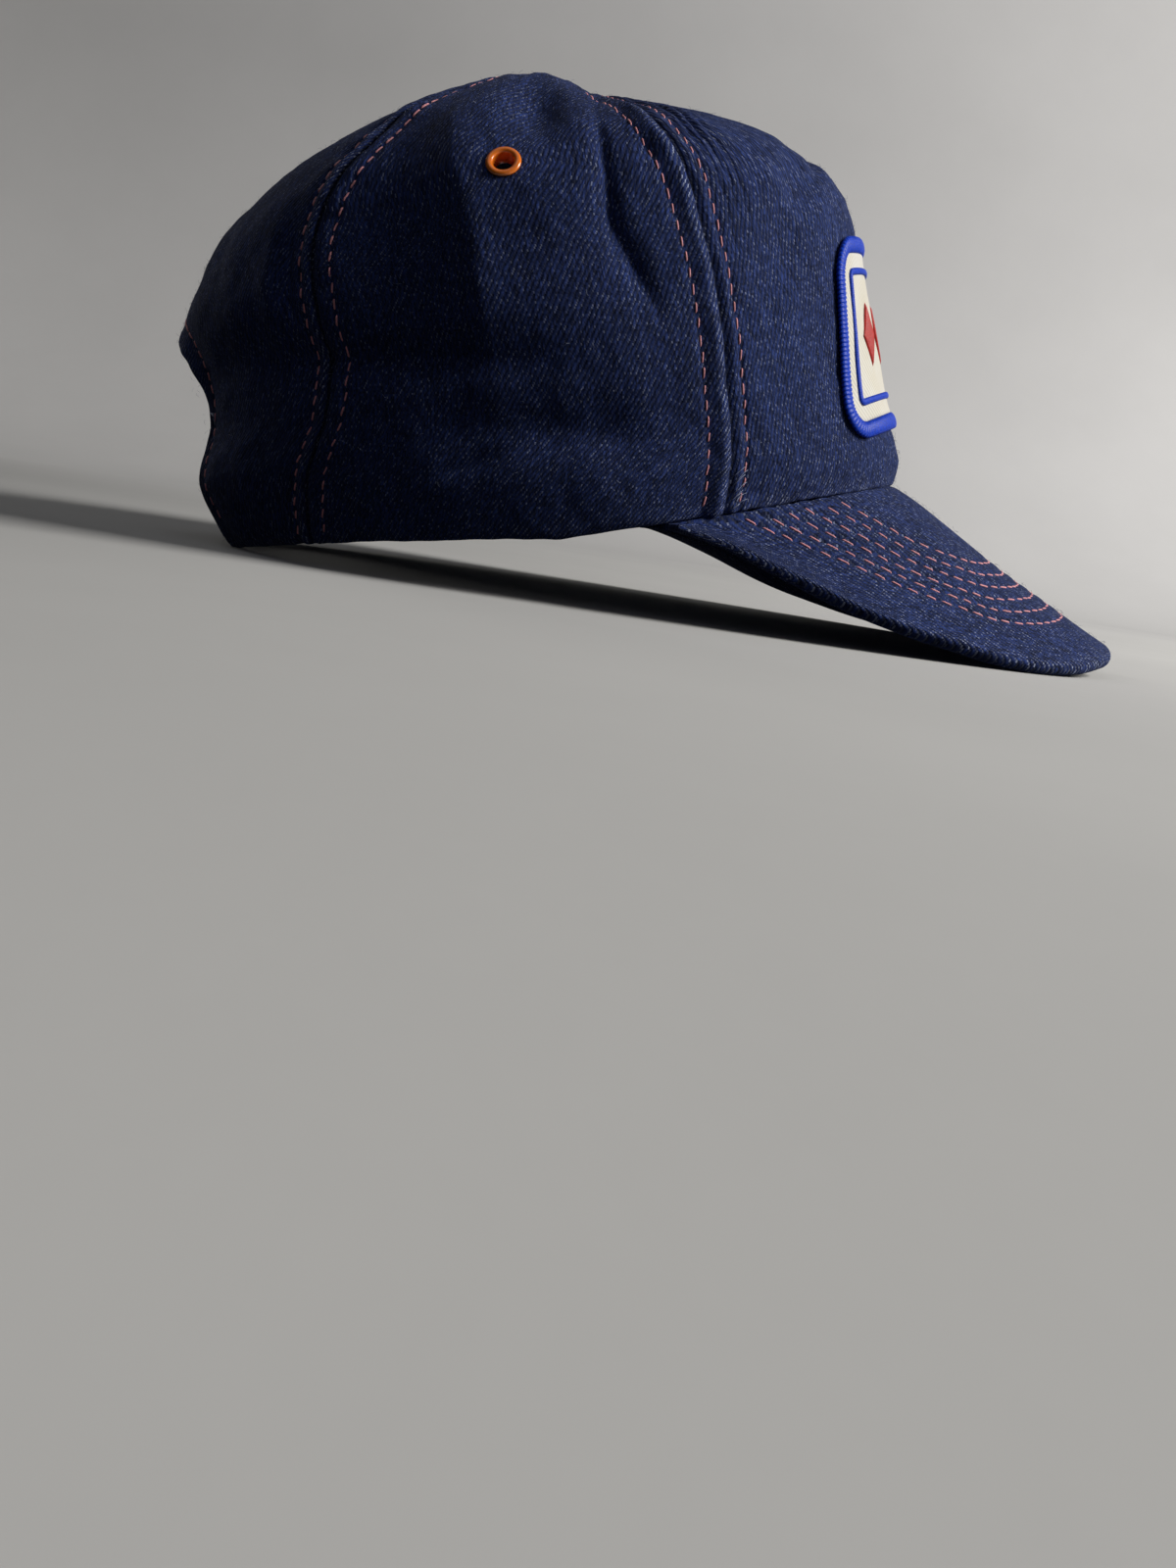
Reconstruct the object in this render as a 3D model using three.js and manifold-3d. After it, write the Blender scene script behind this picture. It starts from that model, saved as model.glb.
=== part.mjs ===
// Trucker cap in dark denim, lying on a table as it does by itself: on the rear corners of its rim and on the
// two sides of its bent visor. Five sewn panels make the crown, a half-moon opening with a snap strap closes
// the back, and the front carries a bare patch with a bound edge. Millimetres, +Z up, visor towards +X, the
// wearer's left towards +Y. The cap frame has its rim near z = 0; the resting frame tilts it onto the table.
import * as THREE from "three";
import { mergeVertices } from "three/addons/utils/BufferGeometryUtils.js";
import Module from "manifold-3d";

const wasm = await Module();
wasm.setup();

// Driving dimensions
const CLOTH = 2.0; // wall of the crown: denim with its stiffening
const SEAM_GAP = 0.3; // clearance between sewn pieces
const TABLE_PRESS = 1.2; // how far the rim's rear corners flatten where they rest
const CENTRE_BACK = 180; // azimuth of the seam at the back
const TOP_LEVEL = 8.8; // panels stop here, under the button
const RIM_FOLD_LEVELS = 0.5; // height of the folded rim, in levels
const LEVEL_RISE = 17; // mean cloth length between two level lines
const FRONT_RISE = 15.6; // the same on the front panel
const AZIMUTH_RUN = 1.5; // mean cloth length of one degree of azimuth

// Level lines round the crown, from the rim to the button: their reach from the centre line to the front,
// side and back, the height that each reach has, how much fuller than an ellipse the front is in plan, and
// how its height bends from the side to the front
const CROWN_CENTRE = -7;
const CROWN_LEVELS = [
  { front: 92, frontUp: 17, side: 80, sideUp: 3, back: 95, backUp: -0.5, full: -0.09, bend: 1.1 },
  { front: 93.5, frontUp: 25, side: 84, sideUp: 19.5, back: 102.6, backUp: 17, full: -0.12, bend: 1.6 },
  { front: 88.5, frontUp: 40, side: 86, sideUp: 36, back: 98.3, backUp: 33, full: -0.09, bend: 2 },
  { front: 84.5, frontUp: 55, side: 86.5, sideUp: 52, back: 98.9, backUp: 47, full: -0.02, bend: 2 },
  { front: 81, frontUp: 70, side: 85, sideUp: 68, back: 99.9, backUp: 62, full: 0.05, bend: 2 },
  { front: 78, frontUp: 84.5, side: 80, sideUp: 86, back: 92, backUp: 79, full: 0.1, bend: 2 },
  { front: 73, frontUp: 93.5, side: 67.5, sideUp: 101.5, back: 74.5, backUp: 93.5, full: 0.08, bend: 2 },
  { front: 58, frontUp: 100, side: 49, sideUp: 112.2, back: 50, backUp: 106.8, full: 0.03, bend: 2 },
  { front: 31, frontUp: 108.5, side: 27, sideUp: 118, back: 26, backUp: 116.5, full: 0, bend: 2 },
  { front: 0, frontUp: 117, side: 0, sideUp: 117, back: 0, backUp: 117, full: 0, bend: 2 },
];

// Azimuth of the seams that part the front, side and back panels, at a few levels
const SEAMS = [
  { level: 0, front: 62.8, rear: 129.5 },
  { level: 1.5, front: 61.1, rear: 123.6 },
  { level: 3, front: 63.4, rear: 123.6 },
  { level: 4.5, front: 68.4, rear: 124.4 },
  { level: 6, front: 74.9, rear: 122.3 },
  { level: 7.5, front: 79.4, rear: 122 },
  { level: 9, front: 82, rear: 123.5 },
];

// Soft folds, alike on both sides: middle, lean from the level lines in degrees, half length, half width and
// depth in millimetres
const FOLDS = [
  { azimuth: 117, level: 2.55, lean: 5, length: 36, width: 6, depth: 2.7 }, // crease round the waist
  { azimuth: 80, level: 4.4, lean: 74, length: 26, width: 7, depth: 0.7 }, // fold beside the front seam
  { azimuth: 80, level: 7.1, lean: 90, length: 22, width: 14, depth: 4.6 }, // dent in the top
  { azimuth: 94, level: 6, lean: 80, length: 14, width: 8, depth: 4.4 }, // dent above the eyelet
  { azimuth: 111, level: 4.3, lean: 82, length: 30, width: 12, depth: 3.6 }, // hollow behind the eyelet
  { azimuth: 87, level: 1.5, lean: 0, length: 28, width: 8, depth: 3.4 }, // slack above the rim
  { azimuth: 47, level: 4.8, lean: 118, length: 24, width: 7, depth: 1.6 }, // shoulder of the front panel
  { azimuth: 64, level: 7.3, lean: 60, length: 30, width: 16, depth: 3.4 }, // sunken top of the front seam
];

// Half-moon opening at the back
const ARCH_HALF_AZIMUTH = 22.5; // to each side of the centre back
const ARCH_TOP_LEVEL = 3.6;
const ARCH_SQUARE = 3.24; // power of its edge, where 2 is an ellipse
// The cloth stands out round the top of the opening: how far, over how many half widths of the opening, and
// over how many levels above and below its top
const ARCH_BULGE = { out: 2.2, spread: 1.55, above: 0.67, below: 0.78 };
// The hem turns out as well: how far, over what share of the opening's size, and over which levels
const ARCH_LIP = { out: 3.17, share: 0.08, level: 3.04, levels: 0.98 };

// Visor
const VISOR_THICK = 4;
const VISOR_CORNER_THICK = 1.5; // it thins out towards its two corners
const VISOR_CORNER = 73; // azimuth of its two corners on the rim
const VISOR_TIP = 147.5; // reach of its front edge
const VISOR_HALF_WIDTH = 78;
const VISOR_FULL = 0.08; // how much fuller than an ellipse its edge is in plan
const VISOR_TUCK = 1.5; // how far its root reaches under the rim
const VISOR_ROOT_FLAT = { share: 0.13, lift: 0.055 }; // level stretch beside the crown
const VISOR_EDGE_ROUND = 1.4; // how far the rounded edge stands out
const VISOR_CORNER_WIDTH = 2.5; // width left at the two corners
// Height of the visor's edge as it turns from the tip (0 degrees) to a corner (90 degrees)
const VISOR_EDGE = [
  { turn: 0, height: -26.5 },
  { turn: 22.5, height: -28 },
  { turn: 45, height: -27.2 },
  { turn: 67.5, height: -15 },
  { turn: 90, height: 7 },
];

// Patch on the front panel
const PATCH = { halfWidth: 53, halfHeight: 22.5, corner: 8, level: 3.12, droop: 5, thick: 0.9 };
const PATCH_BORDER = { width: 3.8, thick: 1.7, clear: 0.6 };

// Eyelets, one in each side panel
const EYELET_PLACE = { azimuth: 97.2, level: 4.96 };
const EYELET = { flange: 4, hole: 2.4, barrel: 3, collar: 4.2, lip: 0.7, seat: 0.9 };
const EYELET_HOLE = 3.3; // radius of the hole in the cloth

// Snap strap and top button
const STRAP = { halfAzimuth: 32, lift: 4.5, height: 18, thick: 1.5, clear: 1.5 };
const STRAP_STUDS = { count: 7, pitch: 9, radius: 2.2, tipRadius: 1.8, rise: 1.3 };
const BUTTON = { radius: 8, footRadius: 6.9, height: 4.2, edgeHeight: 1 };

// How finely the surfaces are cut into faces
const PANEL_ROWS = 20;
const PANEL_COLUMNS = { front: 24, side: 14, back: 15 };
const ARCH_COLUMN_SHARE = 0.6; // part of a back panel's columns that follow the half-moon
const VISOR_GRID = { columns: 30, rows: 8 };
const PATCH_GRID = { columns: 18, rows: 4 };
const BORDER_GRID = { steps: 48, sides: 8 };
const ROUND_SIDES = { eyelet: 20, stud: 10, button: 22 };
const ROLL_STEPS = 5; // over the flange of an eyelet
const DOME_STEPS = 6; // up the dome of the button
const STRAP_COLUMNS = 20;

const DEG = Math.PI / 180;
const clamp = THREE.MathUtils.clamp;
const lerp = THREE.MathUtils.lerp;

// Smooth curve through equally spaced values, at a place counted in rows
function throughRows(values, place) {
  const last = values.length - 1;
  const i = clamp(Math.floor(place), 0, last - 1);
  const f = place - i;
  const [a, b, c, d] = [i - 1, i, i + 1, i + 2].map((k) => values[clamp(k, 0, last)]);
  const cubic = 3 * (b - c) + d - a;
  const square = 2 * a - 5 * b + 4 * c - d;
  return 0.5 * (2 * b + (c - a) * f + square * f * f + cubic * f * f * f);
}

const levelColumn = (name, level) => throughRows(CROWN_LEVELS.map((row) => row[name]), level);

function seamAzimuth(name, level) {
  const step = SEAMS[1].level - SEAMS[0].level;
  return throughRows(SEAMS.map((row) => row[name]), level / step);
}

// Crown without folds: near-elliptic level lines with their own reach to the front, side and back
function crownForm(azimuth, level) {
  const [c, s] = [Math.cos(azimuth * DEG), Math.sin(azimuth * DEG)];
  const end = c >= 0 ? "front" : "back";
  const fullness = c >= 0 ? levelColumn("full", level) : 0;
  const x = CROWN_CENTRE + levelColumn(end, level) * c * (1 + fullness * s * s);
  const y = levelColumn("side", level) * s;
  const bend = c >= 0 ? levelColumn("bend", level) : 2;
  const z = lerp(levelColumn("sideUp", level), levelColumn(end + "Up", level), Math.abs(c) ** bend);
  return new THREE.Vector3(x, y, z);
}

// Outward normal of a surface that is a function of azimuth and level
function surfaceNormal(surface, azimuth, level) {
  const [da, dl] = [0.5, 0.03];
  const along = surface(azimuth + da, level).sub(surface(azimuth - da, level));
  const up = surface(azimuth, level + dl).sub(surface(azimuth, Math.max(level - dl, 0)));
  return along.cross(up).normalize();
}

const bell = (x, middle, width) => Math.exp(-(((x - middle) / width) ** 2));

// How far the cloth stands out round the half-moon
function archFlare(azimuth, level) {
  const fromBack = Math.abs(CENTRE_BACK - Math.abs(azimuth)) / ARCH_HALF_AZIMUTH;
  const toTop = Math.max(level, 0) / ARCH_TOP_LEVEL;
  const size = (fromBack ** ARCH_SQUARE + toTop ** ARCH_SQUARE) ** (1 / ARCH_SQUARE);
  const { out, spread, above, below } = ARCH_BULGE;
  const levels = level > ARCH_TOP_LEVEL ? above : below;
  const bulge = out * bell(fromBack, 0, spread) * bell(level, ARCH_TOP_LEVEL, levels);
  return bulge + ARCH_LIP.out * bell(size, 1, ARCH_LIP.share) * bell(level, ARCH_LIP.level, ARCH_LIP.levels);
}

// How far the folds and the half-moon's edge move the cloth outwards
function foldRelief(azimuth, level) {
  const side = Math.abs(azimuth);
  let relief = archFlare(azimuth, level);
  for (const fold of FOLDS) {
    const a = (side - fold.azimuth) * AZIMUTH_RUN;
    const b = (level - fold.level) * LEVEL_RISE;
    const [c, s] = [Math.cos(fold.lean * DEG), Math.sin(fold.lean * DEG)];
    const along = (a * c + b * s) / fold.length;
    const across = (b * c - a * s) / fold.width;
    relief -= fold.depth * Math.exp(-along * along - across * across);
  }
  return relief;
}

// Outer face of the crown, moved out by lift along its normal
function crownPoint(azimuth, level, lift = 0) {
  const normal = surfaceNormal(crownForm, azimuth, level);
  return crownForm(azimuth, level).addScaledVector(normal, foldRelief(azimuth, level) + lift);
}

const crownNormal = (azimuth, level) => surfaceNormal((a, l) => crownPoint(a, l), azimuth, level);

// Inner face of the crown: one cloth wall inside the outer face, with the folded rim cut off level
function crownInside(azimuth, level, depth = CLOTH) {
  const inwards = crownNormal(azimuth, level);
  inwards.z *= clamp(level / RIM_FOLD_LEVELS, 0, 1);
  return crownPoint(azimuth, level).addScaledVector(inwards.normalize(), -depth);
}

// Lower edge of the crown: the rim, or the half-moon's edge near the centre back
function lowLevel(azimuth) {
  const across = (CENTRE_BACK - Math.abs(azimuth)) / ARCH_HALF_AZIMUTH;
  return across < 1 ? ARCH_TOP_LEVEL * (1 - across ** ARCH_SQUARE) ** (1 / ARCH_SQUARE) : 0;
}

// The table under the resting cap, as a plane in the cap frame: it touches the rear corners and the visor
function restingTable() {
  const rear = crownPoint(CENTRE_BACK - ARCH_HALF_AZIMUTH, 0);
  rear.z += TABLE_PRESS;
  const steps = 60;
  let tilt = 0;
  for (let i = 0; i <= steps; i++) {
    const edge = visorPoint(i / steps, 1, 1);
    tilt = Math.max(tilt, Math.atan2(rear.z - edge.z, edge.x - rear.x));
  }
  const up = new THREE.Vector3(Math.sin(tilt), 0, Math.cos(tilt));
  return { tilt, table: new THREE.Plane().setFromNormalAndCoplanarPoint(up, rear) };
}

// Cloth below the table lies flat on it
function flattened(point, table) {
  const height = table.distanceToPoint(point);
  return height < 0 ? point.addScaledVector(table.normal, -height) : point;
}

// Turns a triangle list so that its faces point outwards
function facingOut(positions, triangles) {
  const [a, b, c] = [0, 1, 2].map(() => new THREE.Vector3());
  let volume = 0;
  for (const t of triangles) {
    [a, b, c].forEach((v, k) => v.copy(positions[t[k]]));
    volume += a.dot(b.cross(c));
  }
  const turned = volume < 0 ? triangles.map(([i, j, k]) => [i, k, j]) : triangles;
  const geometry = new THREE.BufferGeometry().setFromPoints(positions);
  geometry.setIndex(turned.flat());
  return geometry;
}

// A solid through a row of closed rings with equal counts. An open row is capped by strips that join the two
// halves of its end rings; a looped row joins its last ring to its first.
function solidThroughRings(rings, looped = false) {
  const count = rings[0].length;
  const triangles = [];
  const quad = (a, b, c, d) => triangles.push([a, b, c], [a, c, d]);
  const spans = looped ? rings.length : rings.length - 1;
  for (let r = 0; r < spans; r++) {
    const [low, high] = [r * count, ((r + 1) % rings.length) * count];
    for (let i = 0; i < count; i++) {
      const j = (i + 1) % count;
      quad(low + i, low + j, high + j, high + i);
    }
  }
  if (!looped) {
    const end = (rings.length - 1) * count;
    for (let i = 0; i < Math.floor(count / 2); i++) {
      const [p, q, m, n] = [i, i + 1, count - 2 - i, count - 1 - i];
      if (q > m) break;
      triangles.push([p, n, q], [end + p, end + q, end + n]);
      if (q < m) triangles.push([q, n, m], [end + q, end + m, end + n]);
    }
  }
  return facingOut(rings.flat(), triangles);
}

// Closed solid of a three.js geometry for joining and cutting
function toManifold(geometry) {
  const bare = new THREE.BufferGeometry();
  bare.setAttribute("position", geometry.getAttribute("position"));
  bare.setIndex(geometry.index);
  const merged = mergeVertices(bare, 1e-4);
  const vertProperties = new Float32Array(merged.getAttribute("position").array);
  const triVerts = new Uint32Array(merged.index.array);
  return new wasm.Manifold(new wasm.Mesh({ numProp: 3, vertProperties, triVerts }));
}

// The same for a mesh at its place
function placedManifold(mesh) {
  mesh.updateMatrix();
  return toManifold(mesh.geometry.clone().applyMatrix4(mesh.matrix));
}

function fromManifold(solid) {
  const mesh = solid.getMesh();
  const geometry = new THREE.BufferGeometry();
  geometry.setAttribute("position", new THREE.BufferAttribute(mesh.vertProperties, 3));
  geometry.setIndex(new THREE.BufferAttribute(mesh.triVerts, 1));
  return geometry;
}

// One crown panel between two seams, given by their azimuths at a level. Its columns may be crowded by
// spread, a function from an even share to the share that is used.
function panelGeometry(fromSeam, toSeam, columns, table, spread = (u) => u) {
  const rows = PANEL_ROWS;
  const ring = (u) => {
    const column = (v) => {
      const start = lowLevel(lerp(fromSeam(0), toSeam(0), u));
      const level = lerp(start, TOP_LEVEL, v);
      const radius = Math.max(levelColumn("side", level), 1);
      const inset = SEAM_GAP / 2 / radius / DEG;
      return [lerp(fromSeam(level) + inset, toSeam(level) - inset, u), level];
    };
    const points = [];
    for (let i = 0; i <= rows; i++) points.push(crownPoint(...column(i / rows)));
    for (let i = rows; i >= 0; i--) points.push(crownInside(...column(i / rows)));
    return points.map((p) => flattened(p, table));
  };
  const rings = [];
  for (let k = 0; k <= columns; k++) rings.push(ring(spread(k / columns)));
  return solidThroughRings(rings);
}

// The visor: across runs from -1 to 1 between the corners, out from root to edge, down from top to underside
function visorPoint(across, out, down) {
  const surface = (w, s) => {
    const rim = crownForm(w * VISOR_CORNER, 0);
    const inwards = new THREE.Vector3(rim.x, rim.y, 0).normalize();
    const root = rim.clone().addScaledVector(inwards, -VISOR_TUCK);
    root.z -= SEAM_GAP;
    const turn = Math.abs(w) * 90;
    const corner = crownForm(VISOR_CORNER, 0);
    const [c, k] = [Math.cos(turn * DEG), Math.sin(turn * DEG)];
    const stepTurn = VISOR_EDGE[1].turn;
    const height = throughRows(VISOR_EDGE.map((row) => row.height), turn / stepTurn);
    const y = Math.sign(w) * VISOR_HALF_WIDTH * k * (1 + VISOR_FULL * c * c);
    const x = lerp(corner.x + VISOR_CORNER_WIDTH, VISOR_TIP, c * (1 + VISOR_FULL * k * k));
    const edge = new THREE.Vector3(x, y, height);
    const { share, lift: rootLift } = VISOR_ROOT_FLAT;
    const flat = rootLift * (s / share) * Math.exp(1 - s / share) * c;
    const point = root.clone().lerp(edge, s);
    point.z = lerp(root.z, edge.z, s - flat);
    return point;
  };
  const d = 0.01;
  const [w0, w1] = [Math.max(across - d, -1), Math.min(across + d, 1)];
  const [s0, s1] = [Math.max(out - d, 0), Math.min(out + d, 1)];
  const outwards = surface(across, s1).sub(surface(across, s0));
  const sideways = surface(w1, out).sub(surface(w0, out));
  const normal = outwards.cross(sideways).normalize();
  const thick = lerp(VISOR_THICK, VISOR_CORNER_THICK, across ** 8);
  return surface(across, out).addScaledVector(normal, -thick * down);
}

function visorGeometry(table) {
  const { columns, rows } = VISOR_GRID;
  const rings = [];
  for (let k = 0; k <= columns; k++) {
    const across = Math.sin(lerp(-90, 90, k / columns) * DEG);
    const ring = [];
    for (let i = 0; i <= rows; i++) ring.push(visorPoint(across, i / rows, 0));
    const middle = visorPoint(across, 1, 0.5);
    const outwards = middle.clone().sub(visorPoint(across, 1 - 1 / rows, 0.5)).normalize();
    ring.push(middle.addScaledVector(outwards, VISOR_EDGE_ROUND));
    for (let i = rows; i >= 0; i--) ring.push(visorPoint(across, i / rows, 1));
    rings.push(ring.map((p) => flattened(p, table)));
  }
  return solidThroughRings(rings);
}

// A place on the front panel, in cloth lengths from the patch's middle, as azimuth and level
function patchPlace(across, up) {
  const sag = PATCH.droop * (across / PATCH.halfWidth) ** 2;
  return [across / AZIMUTH_RUN, PATCH.level + (up - sag) / FRONT_RISE];
}

// White field of the patch: a thin plate that follows the panel
function patchGeometry() {
  const { columns, rows } = PATCH_GRID;
  const inset = PATCH_BORDER.width / 2 + PATCH_BORDER.clear;
  const [halfWidth, halfHeight] = [PATCH.halfWidth - inset, PATCH.halfHeight - inset];
  const corner = PATCH.corner - inset;
  const rings = [];
  for (let k = 0; k <= columns; k++) {
    const across = halfWidth * Math.sin(lerp(-90, 90, k / columns) * DEG);
    const past = Math.max(Math.abs(across) - (halfWidth - corner), 0);
    const reach = halfHeight - corner + Math.sqrt(Math.max(corner * corner - past * past, 0));
    const at = (share, lift) => crownPoint(...patchPlace(across, lerp(-reach, reach, share)), lift);
    const ring = [];
    for (let i = 0; i <= rows; i++) ring.push(at(i / rows, SEAM_GAP + PATCH.thick));
    for (let i = rows; i >= 0; i--) ring.push(at(i / rows, SEAM_GAP));
    rings.push(ring);
  }
  return solidThroughRings(rings);
}

// Outline of the patch at the middle of its border: a rounded rectangle, at a share of its way round
function patchOutline(share) {
  const { halfWidth, halfHeight, corner } = PATCH;
  const shape = new THREE.Shape();
  const [w, h] = [halfWidth - corner, halfHeight - corner];
  shape.absarc(w, h, corner, 0, 90 * DEG);
  shape.absarc(-w, h, corner, 90 * DEG, 180 * DEG);
  shape.absarc(-w, -h, corner, 180 * DEG, 270 * DEG);
  shape.absarc(w, -h, corner, 270 * DEG, 360 * DEG);
  shape.closePath();
  return shape.getPointAt(share);
}

// Bound edge of the patch: an oval section carried round the outline
function patchBorderGeometry() {
  const { steps, sides } = BORDER_GRID;
  const place = (share, lift) => {
    const p = patchOutline((share + 1) % 1);
    return crownPoint(...patchPlace(p.x, p.y), lift);
  };
  const rings = [];
  for (let k = 0; k < steps; k++) {
    const share = k / steps;
    const middle = place(share, SEAM_GAP + PATCH_BORDER.thick / 2);
    const near = 0.2 / steps;
    const forward = place(share + near, 0).sub(place(share - near, 0)).normalize();
    const p = patchOutline(share);
    const normal = crownNormal(...patchPlace(p.x, p.y));
    const sideways = forward.clone().cross(normal).normalize();
    const ring = [];
    for (let i = 0; i < sides; i++) {
      const turn = (i / sides) * 360 * DEG;
      const point = middle.clone().addScaledVector(sideways, (PATCH_BORDER.width / 2) * Math.cos(turn));
      ring.push(point.addScaledVector(normal, (PATCH_BORDER.thick / 2) * Math.sin(turn)));
    }
    rings.push(ring);
  }
  return solidThroughRings(rings, true);
}

// Lathe profile of an eyelet: rolled flange outside, barrel through the cloth, collar inside
function eyeletGeometry() {
  const { flange, hole, barrel, collar, lip, seat } = EYELET;
  const below = -CLOTH - seat;
  const profile = [
    [hole, below - lip],
    [collar, below - lip],
    [collar, below],
    [barrel, below],
    [barrel, seat],
  ].map(([r, h]) => new THREE.Vector2(r, h));
  for (let i = 0; i <= ROLL_STEPS; i++) {
    const turn = (i / ROLL_STEPS) * 180 * DEG;
    const r = (flange + hole) / 2 + ((flange - hole) / 2) * Math.cos(turn);
    profile.push(new THREE.Vector2(r, seat + lip * Math.sin(turn)));
  }
  return new THREE.LatheGeometry([...profile, profile[0]], ROUND_SIDES.eyelet);
}

// Turns a lathe's axis from +Y to a direction and moves its origin to a point
function seat(object, point, direction) {
  object.position.copy(point);
  object.quaternion.setFromUnitVectors(new THREE.Vector3(0, 1, 0), direction);
}

// Seats an eyelet, or the drill for its hole, in a side panel
function seatEyelet(object, side) {
  const place = [side * EYELET_PLACE.azimuth, EYELET_PLACE.level];
  seat(object, crownPoint(...place), crownNormal(...place));
}

function eyeletMesh(name, side, material) {
  const mesh = new THREE.Mesh(eyeletGeometry(), material);
  mesh.name = name;
  seatEyelet(mesh, side);
  return mesh;
}

// A side panel with its eyelet hole cut through
function sidePanelGeometry(side, table) {
  const front = (level) => side * seamAzimuth("front", level);
  const rear = (level) => side * seamAzimuth("rear", level);
  const [from, to] = side > 0 ? [front, rear] : [rear, front];
  const through = 6 * CLOTH;
  const drill = new THREE.Mesh(
    new THREE.CylinderGeometry(EYELET_HOLE, EYELET_HOLE, through, ROUND_SIDES.eyelet));
  seatEyelet(drill, side);
  const panel = toManifold(panelGeometry(from, to, PANEL_COLUMNS.side, table));
  return fromManifold(panel.subtract(placedManifold(drill)));
}

// A back panel: its columns crowd towards the steep side of the half-moon
function backPanelGeometry(side, table) {
  const rear = (level) => side * seamAzimuth("rear", level);
  const centre = () => side * CENTRE_BACK;
  const archShare = ARCH_HALF_AZIMUTH / (CENTRE_BACK - seamAzimuth("rear", 0));
  const split = ARCH_COLUMN_SHARE;
  const alongArch = (share) => Math.sin(share * 90 * DEG) ** (2 / ARCH_SQUARE);
  const fromCentre = (u) =>
    u < split ? archShare * alongArch(u / split) : lerp(archShare, 1, (u - split) / (1 - split));
  const columns = PANEL_COLUMNS.back;
  if (side > 0) return panelGeometry(rear, centre, columns, table, (u) => 1 - fromCentre(1 - u));
  return panelGeometry(centre, rear, columns, table, fromCentre);
}

// Snap strap: a band inside the rear corners with a row of studs along its middle
function strapGeometry() {
  const band = (azimuth, up, depth) =>
    crownInside(azimuth, (STRAP.lift + up) / LEVEL_RISE, CLOTH + STRAP.clear + depth);
  const rings = [];
  for (let k = 0; k <= STRAP_COLUMNS; k++) {
    const azimuth = CENTRE_BACK + lerp(-STRAP.halfAzimuth, STRAP.halfAzimuth, k / STRAP_COLUMNS);
    const wrapped = azimuth > 180 ? azimuth - 360 : azimuth;
    const half = STRAP.height / 2;
    const [low, high] = [0, STRAP.height];
    const outer = [low, half, high].map((up) => band(wrapped, up, 0));
    const inner = [high, half, low].map((up) => band(wrapped, up, STRAP.thick));
    rings.push([...outer, ...inner]);
  }
  let strap = toManifold(solidThroughRings(rings));
  const { count, pitch, radius, tipRadius, rise } = STRAP_STUDS;
  const height = rise + STRAP.thick / 2;
  const level = (STRAP.lift + STRAP.height / 2) / LEVEL_RISE;
  for (let i = 0; i < count; i++) {
    const offset = (i - (count - 1) / 2) * pitch;
    const azimuth = CENTRE_BACK - Math.abs(offset) / AZIMUTH_RUN;
    const signed = offset < 0 ? -azimuth : azimuth;
    const stud = new THREE.Mesh(new THREE.CylinderGeometry(tipRadius, radius, height, ROUND_SIDES.stud));
    const middle = crownInside(signed, level, CLOTH + STRAP.clear + STRAP.thick / 2 - height / 2);
    seat(stud, middle, crownNormal(signed, level));
    strap = strap.add(placedManifold(stud));
  }
  return fromManifold(strap);
}

// Cloth-covered button: a low dome over the point where the panels meet
function buttonGeometry() {
  const { radius, footRadius, height, edgeHeight } = BUTTON;
  const profile = [new THREE.Vector2(0, 0), new THREE.Vector2(footRadius, 0)];
  for (let i = 0; i <= DOME_STEPS; i++) {
    const turn = (i / DOME_STEPS) * 90 * DEG;
    const rise = lerp(edgeHeight, height, Math.sin(turn));
    profile.push(new THREE.Vector2(i === DOME_STEPS ? 0 : radius * Math.cos(turn), rise));
  }
  return new THREE.LatheGeometry(profile, ROUND_SIDES.button);
}

// Where the button sits: over the panels' upper ends, square to their mean slope and just clear of them
function buttonSeat() {
  const turns = [...Array(24).keys()].map((i) => i * 15 - 180);
  const axis = new THREE.Vector3();
  const middle = new THREE.Vector3();
  for (const turn of turns) {
    axis.add(crownNormal(turn, TOP_LEVEL));
    middle.addScaledVector(crownPoint(turn, TOP_LEVEL), 1 / turns.length);
  }
  axis.normalize();
  const underButton = [TOP_LEVEL, TOP_LEVEL - 0.1, TOP_LEVEL - 0.2];
  const rises = turns.flatMap((turn) =>
    underButton.map((level) => crownPoint(turn, level).sub(middle).dot(axis)));
  return [middle.addScaledVector(axis, Math.max(...rises) + SEAM_GAP), axis];
}

// Materials, by colour, roughness and metalness
function finish(color, roughness, metalness = 0) {
  return new THREE.MeshStandardMaterial({ color, roughness, metalness });
}

const denim = finish("#262f52", 0.92);
const twill = finish("#f2f0e6", 0.85);
const borderThread = finish("#1746b4", 0.6);
const enamel = finish("#e2600f", 0.3, 0.2);
const darkPlastic = finish("#14161f", 0.5);

function named(name, geometry, material) {
  const mesh = new THREE.Mesh(geometry, material);
  mesh.name = name;
  return mesh;
}

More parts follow.
